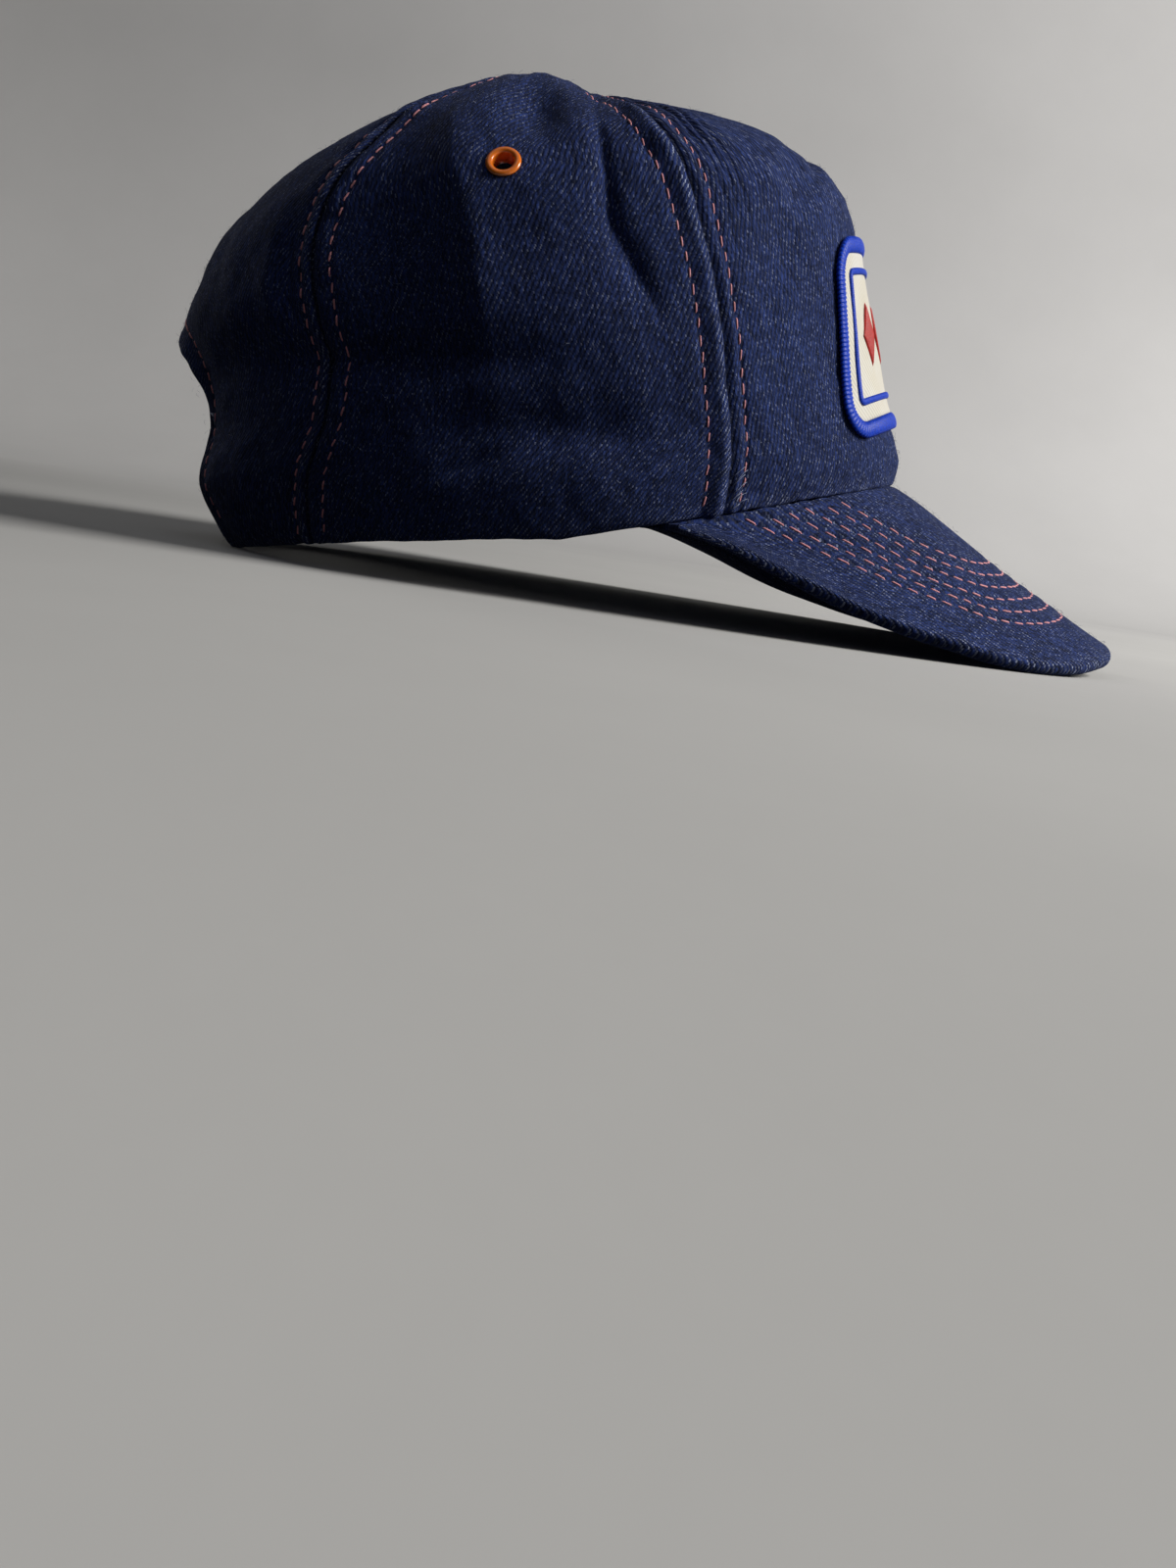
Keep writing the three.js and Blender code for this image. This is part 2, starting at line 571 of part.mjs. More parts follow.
// The assembled cap in its own frame
function makeCap() {
  const { tilt, table } = restingTable();
  const cap = new THREE.Group();
  const frontSeam = (level) => seamAzimuth("front", level);
  const frontPanel = panelGeometry((level) => -frontSeam(level), frontSeam, PANEL_COLUMNS.front, table);
  cap.add(named("front_panel", frontPanel, denim));
  for (const [word, side] of [["left", 1], ["right", -1]]) {
    cap.add(named(`side_panel_${word}`, sidePanelGeometry(side, table), denim));
    cap.add(named(`back_panel_${word}`, backPanelGeometry(side, table), denim));
    cap.add(eyeletMesh(`eyelet_${word}`, side, enamel));
  }
  cap.add(named("visor", visorGeometry(table), denim));
  cap.add(named("patch_field", patchGeometry(), twill));
  cap.add(named("patch_border", patchBorderGeometry(), borderThread));
  cap.add(named("snap_strap", strapGeometry(), darkPlastic));
  const button = named("top_button", buttonGeometry(), denim);
  seat(button, ...buttonSeat());
  cap.add(button);
  // Lay the cap on the table, with the middle of its length over the origin
  cap.rotation.y = -tilt;
  const part = new THREE.Group();
  part.add(cap);
  part.updateMatrixWorld(true);
  const box = new THREE.Box3().setFromObject(part, true);
  cap.position.set(-(box.min.x + box.max.x) / 2, 0, table.constant);
  return part;
}

export default makeCap();
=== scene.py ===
"""Denim trucker cap: sewn cloth, topstitching, patch, eyelets and strap on a plain stage.

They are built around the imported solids. The cap's shape is worked out in the cap frame, in millimetres: the
rim lies near z = 0, the visor points to +x and the wearer's left is +y. An azimuth runs from the front
(0 degrees) over the left side (90) to the back, and a level counts the lines from the rim (0) to the button
(9). rest() then lays the cap on the table, in metres.
"""
import math

import bpy
import numpy as np
from mathutils import Matrix, Vector


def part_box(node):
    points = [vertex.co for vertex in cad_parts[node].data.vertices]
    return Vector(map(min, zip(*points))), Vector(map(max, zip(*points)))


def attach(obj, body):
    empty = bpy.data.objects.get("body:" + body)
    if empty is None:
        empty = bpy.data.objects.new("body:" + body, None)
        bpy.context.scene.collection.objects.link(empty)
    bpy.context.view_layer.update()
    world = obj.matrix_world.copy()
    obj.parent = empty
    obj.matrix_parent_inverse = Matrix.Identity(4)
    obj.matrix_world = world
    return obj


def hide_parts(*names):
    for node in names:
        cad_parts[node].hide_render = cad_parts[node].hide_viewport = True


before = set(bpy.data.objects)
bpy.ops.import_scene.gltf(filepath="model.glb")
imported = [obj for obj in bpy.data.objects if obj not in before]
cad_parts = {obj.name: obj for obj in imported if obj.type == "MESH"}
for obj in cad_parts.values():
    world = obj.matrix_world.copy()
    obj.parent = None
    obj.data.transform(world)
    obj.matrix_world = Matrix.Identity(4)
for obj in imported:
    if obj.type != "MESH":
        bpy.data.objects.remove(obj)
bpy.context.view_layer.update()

bl_info = {
    "name": "Denim trucker cap",
    "version": (1, 0, 0),
    "blender": (4, 5, 0),
    "location": "3D View > Sidebar > Cap",
    "description": "Sews the cap's denim, stitching, patch, eyelets and strap around its packed solids",
    "category": "Add Mesh",
}

MM = 0.001
BODY = "root"

# Crown: a value for each level line from the rim to the button
CROWN_CENTRE = -7.0
CROWN_LEVELS = {
    "front": (92, 93.5, 88.5, 84.5, 81, 78, 73, 58, 31, 0),
    "front_up": (17, 25, 40, 55, 70, 84.5, 93.5, 100, 108.5, 117),
    "side": (80, 84, 86, 86.5, 85, 80, 67.5, 49, 27, 0),
    "side_up": (3, 19.5, 36, 52, 68, 86, 101.5, 112.2, 118, 117),
    "back": (95, 102.6, 98.3, 98.9, 99.9, 92, 74.5, 50, 26, 0),
    "back_up": (-0.5, 17, 33, 47, 62, 79, 93.5, 106.8, 116.5, 117),
    "full": (-0.09, -0.12, -0.09, -0.02, 0.05, 0.1, 0.08, 0.03, 0, 0),
    "bend": (1.1, 1.6, 2, 2, 2, 2, 2, 2, 2, 2),
}
TOP_LEVEL = 8.8
LEVEL_RISE = 17.0
FRONT_RISE = 15.6
AZIMUTH_RUN = 1.5
CENTRE_BACK = 180.0
RIM_FOLD_LEVELS = 0.5
TABLE_PRESS = 1.2
SEAM_OVERLAP = 0.12
SEAM_ROUND = 1.1
PLEAT_DEPTH = 0.9
PLEAT_PITCH = 2.6
# Steps of azimuth and level over which slopes are measured
HALF_DEGREE = 0.5
LEVEL_NEAR = 0.03
# Grid columns and rows of the cloth, and the turn of its weave in degrees
GRID = {"front": (250, 150), "side": (110, 150), "back": (130, 140), "visor": (240, 90)}
GRAIN = {"front": 14.0, "side": 0.0, "back": 4.0, "visor": -62.0}

# Azimuth of the seams, every one and a half levels
SEAM_STEP = 1.5
SEAMS = {
    "front": (62.8, 61.1, 63.4, 68.4, 74.9, 79.4, 82),
    "rear": (129.5, 123.6, 123.6, 124.4, 122.3, 122, 123.5),
}
# Distance of the topstitch rows ahead of each seam and behind it
STITCH_ROWS = {"front": (4.1, 6.2), "rear": (5.0, 3.9), "centre": (4.5, 4.5)}
STITCHED_LEVELS = (0.12, 8.45)
# Length of a stitch as a share of its pitch
STITCH_SHARE = {"crown": 0.76, "visor": 0.74}

# Soft folds on both sides: azimuth, level, lean in degrees, half length, half width, depth
FOLDS = (
    (117, 2.55, 5, 36, 6, 2.7),
    (80, 4.4, 74, 26, 7, 0.7),
    (80, 7.1, 90, 22, 14, 4.6),
    (94, 6, 80, 14, 8, 4.4),
    (111, 4.3, 82, 30, 12, 3.6),
    (87, 1.5, 0, 28, 8, 3.4),
    (47, 4.8, 118, 24, 7, 1.6),
    (64, 7.3, 60, 30, 16, 3.4),
)
# Finer creases in the cloth, in the same columns: rounded ones, and ones with a sharp bottom or crest
CREASES = (
    (103, 0.78, -20, 9, 3.0, -0.7),
    (87, 1.45, 2, 14, 2.4, 0.6),
    (128.8, 3.6, 87, 14, 2.6, 1.3),
    (132.5, 3.6, 87, 14, 3.0, -0.8),
    (34, 5.9, 128, 12, 3.0, 1.6),
    (109.5, 4.6, 85, 17, 5.0, -1.0),
    (150, 4.6, 60, 16, 4.0, 0.8),
    (163, 5.6, 100, 18, 4.5, 0.7),
)
SHARP_CREASES = (
    (82.3, 4.85, 84, 15, 1.9, 3.0),
    (78.6, 3.8, 62, 12, 1.9, 2.6),
    (99.7, 3.35, 84, 16, 6.0, -2.0),
    (104, 4.94, 70, 17, 6.0, -2.1),
    (113, 2.55, 5, 28, 3.0, 1.2),
    (103, 1.02, -20, 8, 1.8, 2.0),
    (55.7, 5.2, 43, 10, 1.6, -0.6),
    (46.3, 4.25, 55, 12, 1.6, -0.6),
)
SHARP_ROUND = 0.3

# Half-moon opening; its upper part bulges, and the hem turns out
ARCH_HALF_AZIMUTH = 22.5
ARCH_TOP_LEVEL = 3.6
ARCH_SQUARE = 3.24
ARCH_BULGE = {"out": 2.2, "spread": 1.55, "above": 0.67, "below": 0.78}
ARCH_LIP = {"out": 3.17, "share": 0.08, "level": 3.04, "levels": 0.98}
ARCH_HEM = 6.2
ARCH_COLUMN_SHARE = 0.6
# The cloth is carried this far past the edge, which its rounding takes back
ARCH_EDGE = 0.7
ARCH_REACH = ARCH_HALF_AZIMUTH - ARCH_EDGE / AZIMUTH_RUN

# Visor
VISOR_CORNER = 73.0
VISOR_TIP = 147.5
VISOR_HALF_WIDTH = 78.0
VISOR_FULL = 0.08
VISOR_TUCK = 1.5
VISOR_ROOT_DROP = 0.3
VISOR_ROOT_SHARE = 0.13
VISOR_ROOT_LIFT = 0.055
VISOR_ROOT_ROUND = 0.3
VISOR_ROOT_SWELL = 0.8
VISOR_EDGE_ROUND = 1.4
VISOR_CORNER_WIDTH = 2.5
VISOR_THICK = 4.0
VISOR_CORNER_THICK = 1.5
VISOR_EDGE_STEP = 22.5
VISOR_EDGE_HEIGHTS = (-26.5, -28, -27.2, -15, 7)
# Stitch rows of the visor: reach at the middle and share of the half width where they meet the crown
VISOR_ROWS = 6
VISOR_ROW_REACH = (0.784, 0.462)
VISOR_ROW_END = (0.847, 0.552)
VISOR_ROW_POWER = 4.66

# Patch
PATCH_HALF = (53.0, 22.5)
PATCH_CORNER = 8.0
PATCH_LEVEL = 3.12
PATCH_DROOP = 5.0
PATCH_THICK = 0.9
PATCH_LIFT = 0.3
BORDER_WIDTH = 3.8
BORDER_THICK = 1.7
BORDER_CLEAR = 0.6
# Embroidery of the patch: a frame line inside the border, and a row of diamonds
FRAME_INSET = 6.5
FRAME_WIDTH = 1.7
DIAMONDS = 5
DIAMOND_STEP = 17.0
DIAMOND_HALF = (6.0, 8.0)
SATIN_RISE = 0.45

# Eyelets, strap and button
EYELET_AZIMUTH = 97.2
EYELET_LEVEL = 4.96
EYELET = {"flange": 4.0, "hole": 2.4, "barrel": 3.0, "collar": 4.2, "lip": 0.7}
EYELET_HOLE = 3.3
# Rings of grid cells that become the eyelet's hole, and that move aside for it
EYELET_RINGS = (4, 14)
STRAP = {"half_azimuth": 32.0, "lift": 4.5, "height": 18.0, "thick": 1.5, "clear": 1.5}
STUDS = {"count": 7, "pitch": 9.0, "radius": 2.2, "rise": 1.3}
BUTTON = {"radius": 8.0, "height": 4.2, "edge": 1.0}

# Loose fibres: count, lengths, thickness and share of white ones; and frayed yarn ends
FIBRES = 6000
FIBRE_LENGTH = (0.5, 2.2)
FIBRE_THICK = 0.045
FIBRE_WHITE = 0.2
FRAY_YARNS = 11
FRAY_THICK = 0.13

# Photograph's camera in the cap frame: place in mm, pitch in degrees, focal length in pixels of 1200 x 1600
CAMERA_PLACE = (0.0, -404.0, 7.3)
CAMERA_PITCH = 10.67
CAMERA_FOCAL = 1415.0
PHOTO_HEIGHT = 1600.0
SENSOR = 36.0


def hex_colour(text):
    """Linear red, green and blue of an sRGB hex value."""
    values = [int(text[i:i + 2], 16) / 255 for i in (1, 3, 5)]
    return tuple(v / 12.92 if v <= 0.04045 else ((v + 0.055) / 1.055) ** 2.4 for v in values)


def length_property(name, description, millimetres):
    """Property for a length, given in mm."""
    return bpy.props.FloatProperty(
        name=name, description=description, default=millimetres * MM, unit="LENGTH")


def colour_property(name, description, value):
    """Property for a colour, given as an sRGB hex value."""
    return bpy.props.FloatVectorProperty(
        name=name, description=description, subtype="COLOR", default=hex_colour(value))


class CapSizes(bpy.types.PropertyGroup):
    """Sizes of the cloth and its sewing."""

    cloth: length_property("Cloth", "Wall of the crown, denim with its stiffening", 2.0)
    seam_pitch: length_property("Seam stitch pitch", "From stitch to stitch on the crown", 3.6)
    visor_pitch: length_property("Visor stitch pitch", "From stitch to stitch on the visor", 5.0)
    thread: length_property("Thread", "Diameter of the topstitching thread", 0.5)
    warp_pitch: length_property("Warp pitch", "Spacing of the denim's warp yarns", 0.32)
    weft_pitch: length_property("Weft pitch", "Spacing of the denim's weft yarns", 0.52)
    wrap_pitch: length_property("Border wraps", "Spacing of the wraps of the patch's border", 1.05)


class CapColours(bpy.types.PropertyGroup):
    """Colours of the cap, as linear values."""

    indigo: colour_property("Indigo", "Warp yarns of the denim", "#131c3f")
    faded: colour_property("Faded indigo", "Warp yarns where they are paler", "#31437c")
    weft: colour_property("Weft", "White weft yarns that show through", "#b4bdd8")
    thread: colour_property("Topstitch", "Topstitching thread", "#ffb0b4")
    twill: colour_property("Patch", "Field of the patch", "#f1eee3")
    border: colour_property("Border", "Overlock thread round the patch", "#0c44d0")
    diamonds: colour_property("Diamonds", "Red satin diamonds of the patch", "#c92a22")
    enamel: colour_property("Enamel", "Paint of the eyelets", "#ff8420")
    plastic: colour_property("Strap", "Moulded strap", "#161a28")


# Shape of the crown

def through_rows(values, place):
    """Smooth curve through equally spaced values, at places in rows: Catmull-Rom spline, ends held."""
    values = np.asarray(values, float)
    last = len(values) - 1
    i = np.clip(np.floor(place).astype(int), 0, last - 1)
    f = place - i
    a, b, c, d = (values[np.clip(i + k, 0, last)] for k in (-1, 0, 1, 2))
    square = 2 * a - 5 * b + 4 * c - d
    cubic = 3 * (b - c) + d - a
    return 0.5 * (2 * b + (c - a) * f + square * f ** 2 + cubic * f ** 3)


def mix(a, b, share):
    """Value that lies the given share of the way from a to b."""
    return a + (b - a) * share


def unit(vectors):
    """The vectors, each divided by its length."""
    return vectors / np.maximum(np.linalg.norm(vectors, axis=-1, keepdims=True), 1e-9)


def paired(a, b):
    """The two as arrays of one shape."""
    return np.broadcast_arrays(np.asarray(a, float), np.asarray(b, float))


def seam_azimuth(name, level):
    """Azimuth of a seam at a level."""
    return through_rows(SEAMS[name], level / SEAM_STEP)


def crown_form(azimuth, level):
    """Crown without folds: near ellipses as level lines, each with its reach to front, side and back."""
    azimuth, level = paired(azimuth, level)
    column = {name: through_rows(values, level) for name, values in CROWN_LEVELS.items()}
    c, s = np.cos(np.radians(azimuth)), np.sin(np.radians(azimuth))
    ahead = c >= 0
    reach = np.where(ahead, column["front"], column["back"])
    end_up = np.where(ahead, column["front_up"], column["back_up"])
    full = np.where(ahead, column["full"], 0)
    bend = np.where(ahead, column["bend"], 2)
    x = CROWN_CENTRE + reach * c * (1 + full * s * s)
    return np.stack([x, column["side"] * s, mix(column["side_up"], end_up, np.abs(c) ** bend)], -1)


def steps_along(azimuth, level, surface=crown_form):
    """Change of the crown, or another surface, for a degree of azimuth and for a level, by differences."""
    low, high = np.maximum(level - LEVEL_NEAR, 0), level + LEVEL_NEAR
    along = surface(azimuth + HALF_DEGREE, level) - surface(azimuth - HALF_DEGREE, level)
    up = (surface(azimuth, high) - surface(azimuth, low)) / (high - low)[..., None]
    return along, up


def crown_normal(azimuth, level):
    """Outward normal of the crown without folds."""
    azimuth, level = paired(azimuth, level)
    return unit(np.cross(*steps_along(azimuth, level)))


def fold_relief(azimuth, level, folds, sharp=False):
    """Sum of oval dents: depth times a bell curve along the lean, and a bell or a spike across it."""
    side = np.abs(azimuth)
    relief = np.zeros(np.broadcast(azimuth, level).shape)
    for fold_azimuth, fold_level, lean, length, width, depth in folds:
        a = (side - fold_azimuth) * AZIMUTH_RUN
        b = (level - fold_level) * LEVEL_RISE
        c, s = math.cos(math.radians(lean)), math.sin(math.radians(lean))
        along, across = (a * c + b * s) / length, b * c - a * s
        fall = np.hypot(across, SHARP_ROUND) / width if sharp else (across / width) ** 2
        relief -= depth * np.exp(-along ** 2 - fall)
    return relief


def arch_size(azimuth, level):
    """Size of the superellipse through a place, as a share of the half-moon's own edge."""
    n = ARCH_SQUARE
    side = np.abs(CENTRE_BACK - np.abs(azimuth)) / ARCH_HALF_AZIMUTH
    up = np.maximum(level, 0) / ARCH_TOP_LEVEL
    return (side ** n + up ** n) ** (1 / n) + 1e-6


def arch_flare(azimuth, level):
    """How far the cloth above the half-moon stands out: a wide bell curve and a narrow one on its hem."""
    from_back = (CENTRE_BACK - np.abs(azimuth)) / ARCH_HALF_AZIMUTH / ARCH_BULGE["spread"]
    reach = np.where(level > ARCH_TOP_LEVEL, ARCH_BULGE["above"], ARCH_BULGE["below"])
    bulge = ARCH_BULGE["out"] * np.exp(-from_back ** 2 - ((level - ARCH_TOP_LEVEL) / reach) ** 2)
    across = (arch_size(azimuth, level) - 1) / ARCH_LIP["share"]
    along = (level - ARCH_LIP["level"]) / ARCH_LIP["levels"]
    return bulge + ARCH_LIP["out"] * np.exp(-across ** 2 - along ** 2)


def bell(distance, middle, half_width):
    """Bell curve about a middle."""
    return np.exp(-((distance - middle) / half_width) ** 2)


def ripple(x, y, wavelength, seed, waves=8):
    """Smooth random relief, mostly within -1 to 1: sine waves of about one length in random directions."""
    rng = np.random.default_rng(seed)
    total = np.zeros(np.broadcast(x, y).shape)
    for turn, phase, stretch in rng.uniform((0, 0, 0.7), (2 * np.pi, 2 * np.pi, 1.4), (waves, 3)):
        total += np.sin((x * np.cos(turn) + y * np.sin(turn)) * 2 * np.pi / wavelength * stretch + phase)
    return total / math.sqrt(waves) / 1.5


def seam_distances(azimuth, level):
    """Distance in mm from the front, rear and centre back seams, positive towards the back."""
    side = np.abs(azimuth)
    run = np.linalg.norm(steps_along(azimuth, level)[0], axis=-1)
    places = (seam_azimuth("front", level), seam_azimuth("rear", level), CENTRE_BACK)
    return [(side - place) * run for place in places]


def arch_distance(azimuth, level):
    """Distance in mm outside the half-moon's edge: the superellipse's own function divided by its slope."""
    n = ARCH_SQUARE
    side = np.abs(CENTRE_BACK - np.abs(azimuth)) / ARCH_HALF_AZIMUTH
    up = np.maximum(level, 0) / ARCH_TOP_LEVEL
    size = arch_size(azimuth, level)
    run = np.linalg.norm(steps_along(azimuth, level)[0], axis=-1)
    slope_side = (side / size) ** (n - 1) / (ARCH_HALF_AZIMUTH * np.maximum(run, 0.1))
    slope_up = (up / size) ** (n - 1) / (ARCH_TOP_LEVEL * LEVEL_RISE)
    return (size - 1) / np.sqrt(slope_side ** 2 + slope_up ** 2)


def welt(distance, ahead, behind):
    """Section of a lapped seam: the fold behind it is a raised roll, and the cloth ahead of it dips under.

    The roll and the lower ridge ahead reach towards the topstitch rows, which lie in grooves.
    """
    d = np.abs(distance)
    row = np.where(distance < 0, ahead, behind)
    step = 1 / (1 + np.exp(np.clip(-distance / 0.15, -30, 30)))
    roll = 0.15 * row * bell(d / row, 0.42, 0.3)
    under = 0.06 * row * bell(d / row, 0.5, 0.28) - 0.45 * bell(d, 0, 1.2)
    return mix(under, roll, step) - 0.4 * bell(d, row, 0.7)


def cloth_relief(azimuth, level):
    """Fine relief of the sewn cloth: seams with their puckers, the half-moon's hem, creases and slack."""
    x, y = azimuth * AZIMUTH_RUN, level * LEVEL_RISE
    distances = seam_distances(azimuth, level)
    arch = arch_distance(azimuth, level)
    relief = fold_relief(azimuth, level, CREASES) + fold_relief(azimuth, level, SHARP_CREASES, True)
    for distance, (ahead, behind), seed in zip(distances, STITCH_ROWS.values(), (3, 5, 7)):
        relief += welt(distance, ahead, behind)
        pucker = 0.35 * bell(np.abs(distance), behind, 3.5)
        relief += pucker * ripple(distance * 0.35, y, 7.0, seed)
    relief += 0.3 * bell(arch, 2.5, 1.8) - 0.35 * bell(arch, ARCH_HEM, 0.8)
    # The rim is folded in, so its edge rolls under, less so where it sits on the visor
    free = np.clip((np.abs(azimuth) - VISOR_CORNER) / 8, 0, 1)
    relief -= (0.25 + 0.75 * free) * bell(y, 0, 2.6)
    # Narrow pleats beside the front seam, on the front panel's shoulder
    shoulder = bell(level, 6.4, 1.7) * bell(distances[0], -10.0, 5.5)
    wander = 0.9 * ripple(x, y, 26.0, 29)
    relief -= PLEAT_DEPTH * shoulder * np.cos(np.pi * distances[0] / PLEAT_PITCH + wander) ** 4
    return relief + 0.32 * ripple(x, y, 21.0, 11) + 0.12 * ripple(x, y, 7.5, 13)


def crown_point(azimuth, level, lift=0.0):
    """Outer face of the crown with its soft folds, moved out by lift."""
    azimuth, level = paired(azimuth, level)
    out = fold_relief(azimuth, level, FOLDS) + arch_flare(azimuth, level) + lift
    return crown_form(azimuth, level) + crown_normal(azimuth, level) * out[..., None]


def cloth_point(azimuth, level, lift=0.0):
    """Outer face of the sewn cloth, moved out by lift."""
    azimuth, level = paired(azimuth, level)
    return crown_point(azimuth, level, cloth_relief(azimuth, level) + lift)


def crown_inside(azimuth, level, depth):
    """A face inside the crown by a depth, square to it but level at the rim's fold."""
    azimuth, level = paired(azimuth, level)
    outwards = unit(np.cross(*steps_along(azimuth, level, crown_point)))
    outwards[..., 2] *= np.clip(level / RIM_FOLD_LEVELS, 0, 1)
    return crown_point(azimuth, level) - unit(outwards) * depth


def low_level(azimuth):
    """Lower edge of the crown: the rim, or the half-moon's edge near the centre back."""
    across = np.clip((CENTRE_BACK - np.abs(azimuth)) / ARCH_REACH, 0, 1)
    return (ARCH_TOP_LEVEL - ARCH_EDGE / LEVEL_RISE) * (1 - across ** ARCH_SQUARE) ** (1 / ARCH_SQUARE)


# Shape of the visor

def visor_surface(across, out):
    """Top of the visor: straight lines from the rim to its edge, with a level stretch beside the crown.

    across runs from -1 to 1 between the two corners, out from 0 at the rim to 1 at the edge.
    """
    across, out = paired(across, out)
    rim = crown_form(across * VISOR_CORNER, np.zeros(across.shape))
    root = rim - VISOR_TUCK * unit(rim * (1, 1, 0)) - np.array((0, 0, VISOR_ROOT_DROP))
    turn = np.abs(across) * 90
    c, k = np.cos(np.radians(turn)), np.sin(np.radians(turn))
    corner = crown_form(VISOR_CORNER, 0.0)[0] + VISOR_CORNER_WIDTH
    edge = np.stack([
        mix(corner, VISOR_TIP, c * (1 + VISOR_FULL * k * k)),
        np.sign(across) * VISOR_HALF_WIDTH * k * (1 + VISOR_FULL * c * c),
        through_rows(VISOR_EDGE_HEIGHTS, turn / VISOR_EDGE_STEP),
    ], -1)
    point = mix(root, edge, out[..., None])
    reach = out / VISOR_ROOT_SHARE
    flat = VISOR_ROOT_LIFT * reach * np.exp(1 - reach) * c
    point[..., 2] = mix(root[..., 2], edge[..., 2], out - flat)
    return point


def visor_steps(across, out):
    """Change of the visor's top for a unit of across and of out, by differences."""
    d = 0.01
    left, right = np.maximum(across - d, -1), np.minimum(across + d, 1)
    sideways = (visor_surface(right, out) - visor_surface(left, out)) / (right - left)[..., None]
    outwards = (visor_surface(across, out + d) - visor_surface(across, out - d)) / (2 * d)
    return sideways, outwards


def visor_thickness(across):
    """Thickness of the visor, thinner at its two corners."""
    return mix(VISOR_THICK, VISOR_CORNER_THICK, across ** 8)


def visor_row(index, across):
    """Place between rim and edge of a stitch row: a flat-topped arch that meets the crown at its end."""
    share = index / (VISOR_ROWS - 1)
    reach = mix(*VISOR_ROW_REACH, share)
    end = mix(*VISOR_ROW_END, share)
    return reach * (1 - np.abs(across / end) ** VISOR_ROW_POWER)


def visor_cloth(across, out):
    """Top of the visor with a groove along each stitch row, and its normals."""
    across, out = paired(across, out)
    sideways, outwards = visor_steps(across, out)
    normal = unit(np.cross(outwards, sideways))
    run, reach = np.linalg.norm(sideways, axis=-1), np.linalg.norm(outwards, axis=-1)
    relief = np.zeros(across.shape)
    for index in range(VISOR_ROWS):
        slope = (visor_row(index, across + 0.005) - visor_row(index, across - 0.005)) / 0.01
        gap = (out - visor_row(index, across)) / np.sqrt(1 / reach ** 2 + (slope / run) ** 2)
        relief -= 0.38 * bell(gap, 0, 0.9)
    # The cloth swells up against the front panel
    relief += VISOR_ROOT_SWELL * bell(out * reach, 0, 4.0)
    point = visor_surface(across, out)
    relief += 0.18 * ripple(point[..., 0], point[..., 1], 24.0, 17)
    return point + normal * relief[..., None], normal


# Resting place on the table

def resting_place():
    """Tilt of the cap, and the shift that lays it on the table: rear corners and visor touch the table."""
    rear = crown_point(CENTRE_BACK - ARCH_HALF_AZIMUTH, 0.0) + np.array((0, 0, TABLE_PRESS))
    across = np.linspace(-1, 1, 241)
    sideways, outwards = visor_steps(across, np.ones(across.shape))
    normal = unit(np.cross(outwards, sideways))
    top = visor_surface(across, 1.0)
    thick = visor_thickness(across)[:, None]
    under = top - normal * thick
    tilt = np.max(np.arctan2(rear[2] - under[:, 2], under[:, 0] - rear[0]))
    edge = top - normal * thick / 2 + unit(outwards) * VISOR_EDGE_ROUND
    tip = np.max(edge[:, 0] * np.cos(tilt) - edge[:, 2] * np.sin(tilt))
    lift = -(rear[0] * np.sin(tilt) + rear[2] * np.cos(tilt))
    return tilt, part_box("visor")[1][0] / MM - tip, lift


TILT, REST_FORWARD, REST_UP = resting_place()


def turned(vectors):
    """Directions of the cap frame, turned by the tilt of the resting cap."""
    x, y, z = np.moveaxis(np.asarray(vectors, float), -1, 0)
    c, s = math.cos(TILT), math.sin(TILT)
    return np.stack([x * c - z * s, y, x * s + z * c], -1)


def rest(points):
    """Points of the cap frame in mm, laid on the table, in metres."""
    laid = turned(points) + np.array((REST_FORWARD, 0, REST_UP))
    return np.maximum(laid, (-np.inf, -np.inf, 0.0)) * MM


# Meshes

def grid_faces(index, loop_rows=False, loop_columns=False):
    """Quads of a grid of vertex numbers, which may close on itself along its rows or columns."""
    if loop_rows:
        index = np.concatenate([index, index[:1]], 0)
    if loop_columns:
        index = np.concatenate([index, index[:, :1]], 1)
    corners = (index[:-1, :-1], index[:-1, 1:], index[1:, 1:], index[1:, :-1])
    return np.stack([c.ravel() for c in corners], -1)


def edge_crowd(count, crowd=0.8):
    """Shares from 0 to 1 that lie closer together towards both ends."""
    share = np.linspace(0, 1, count)
    return mix(share, 0.5 - 0.5 * np.cos(np.pi * share), crowd)


def lengths_along(points, axis):
    """Distance covered from the start of each grid line, along rows (0) or columns (1)."""
    steps = np.linalg.norm(np.diff(points, axis=axis), axis=-1)
    start = np.zeros_like(np.take(steps, [0], axis=axis))
    return np.concatenate([start, np.cumsum(steps, axis=axis)], axis)


def edge_distance(points):
    """Distance of each grid point from the nearest edge of the grid, along its lines."""
    up, along = lengths_along(points, 0), lengths_along(points, 1)
    return np.minimum.reduce([up, up[-1:] - up, along, along[:, -1:] - along])


def grid_normals(points):
    """Normals of a grid: the cross product of its steps along the columns and up the rows."""
    return unit(np.cross(np.gradient(points, axis=1), np.gradient(points, axis=0)))


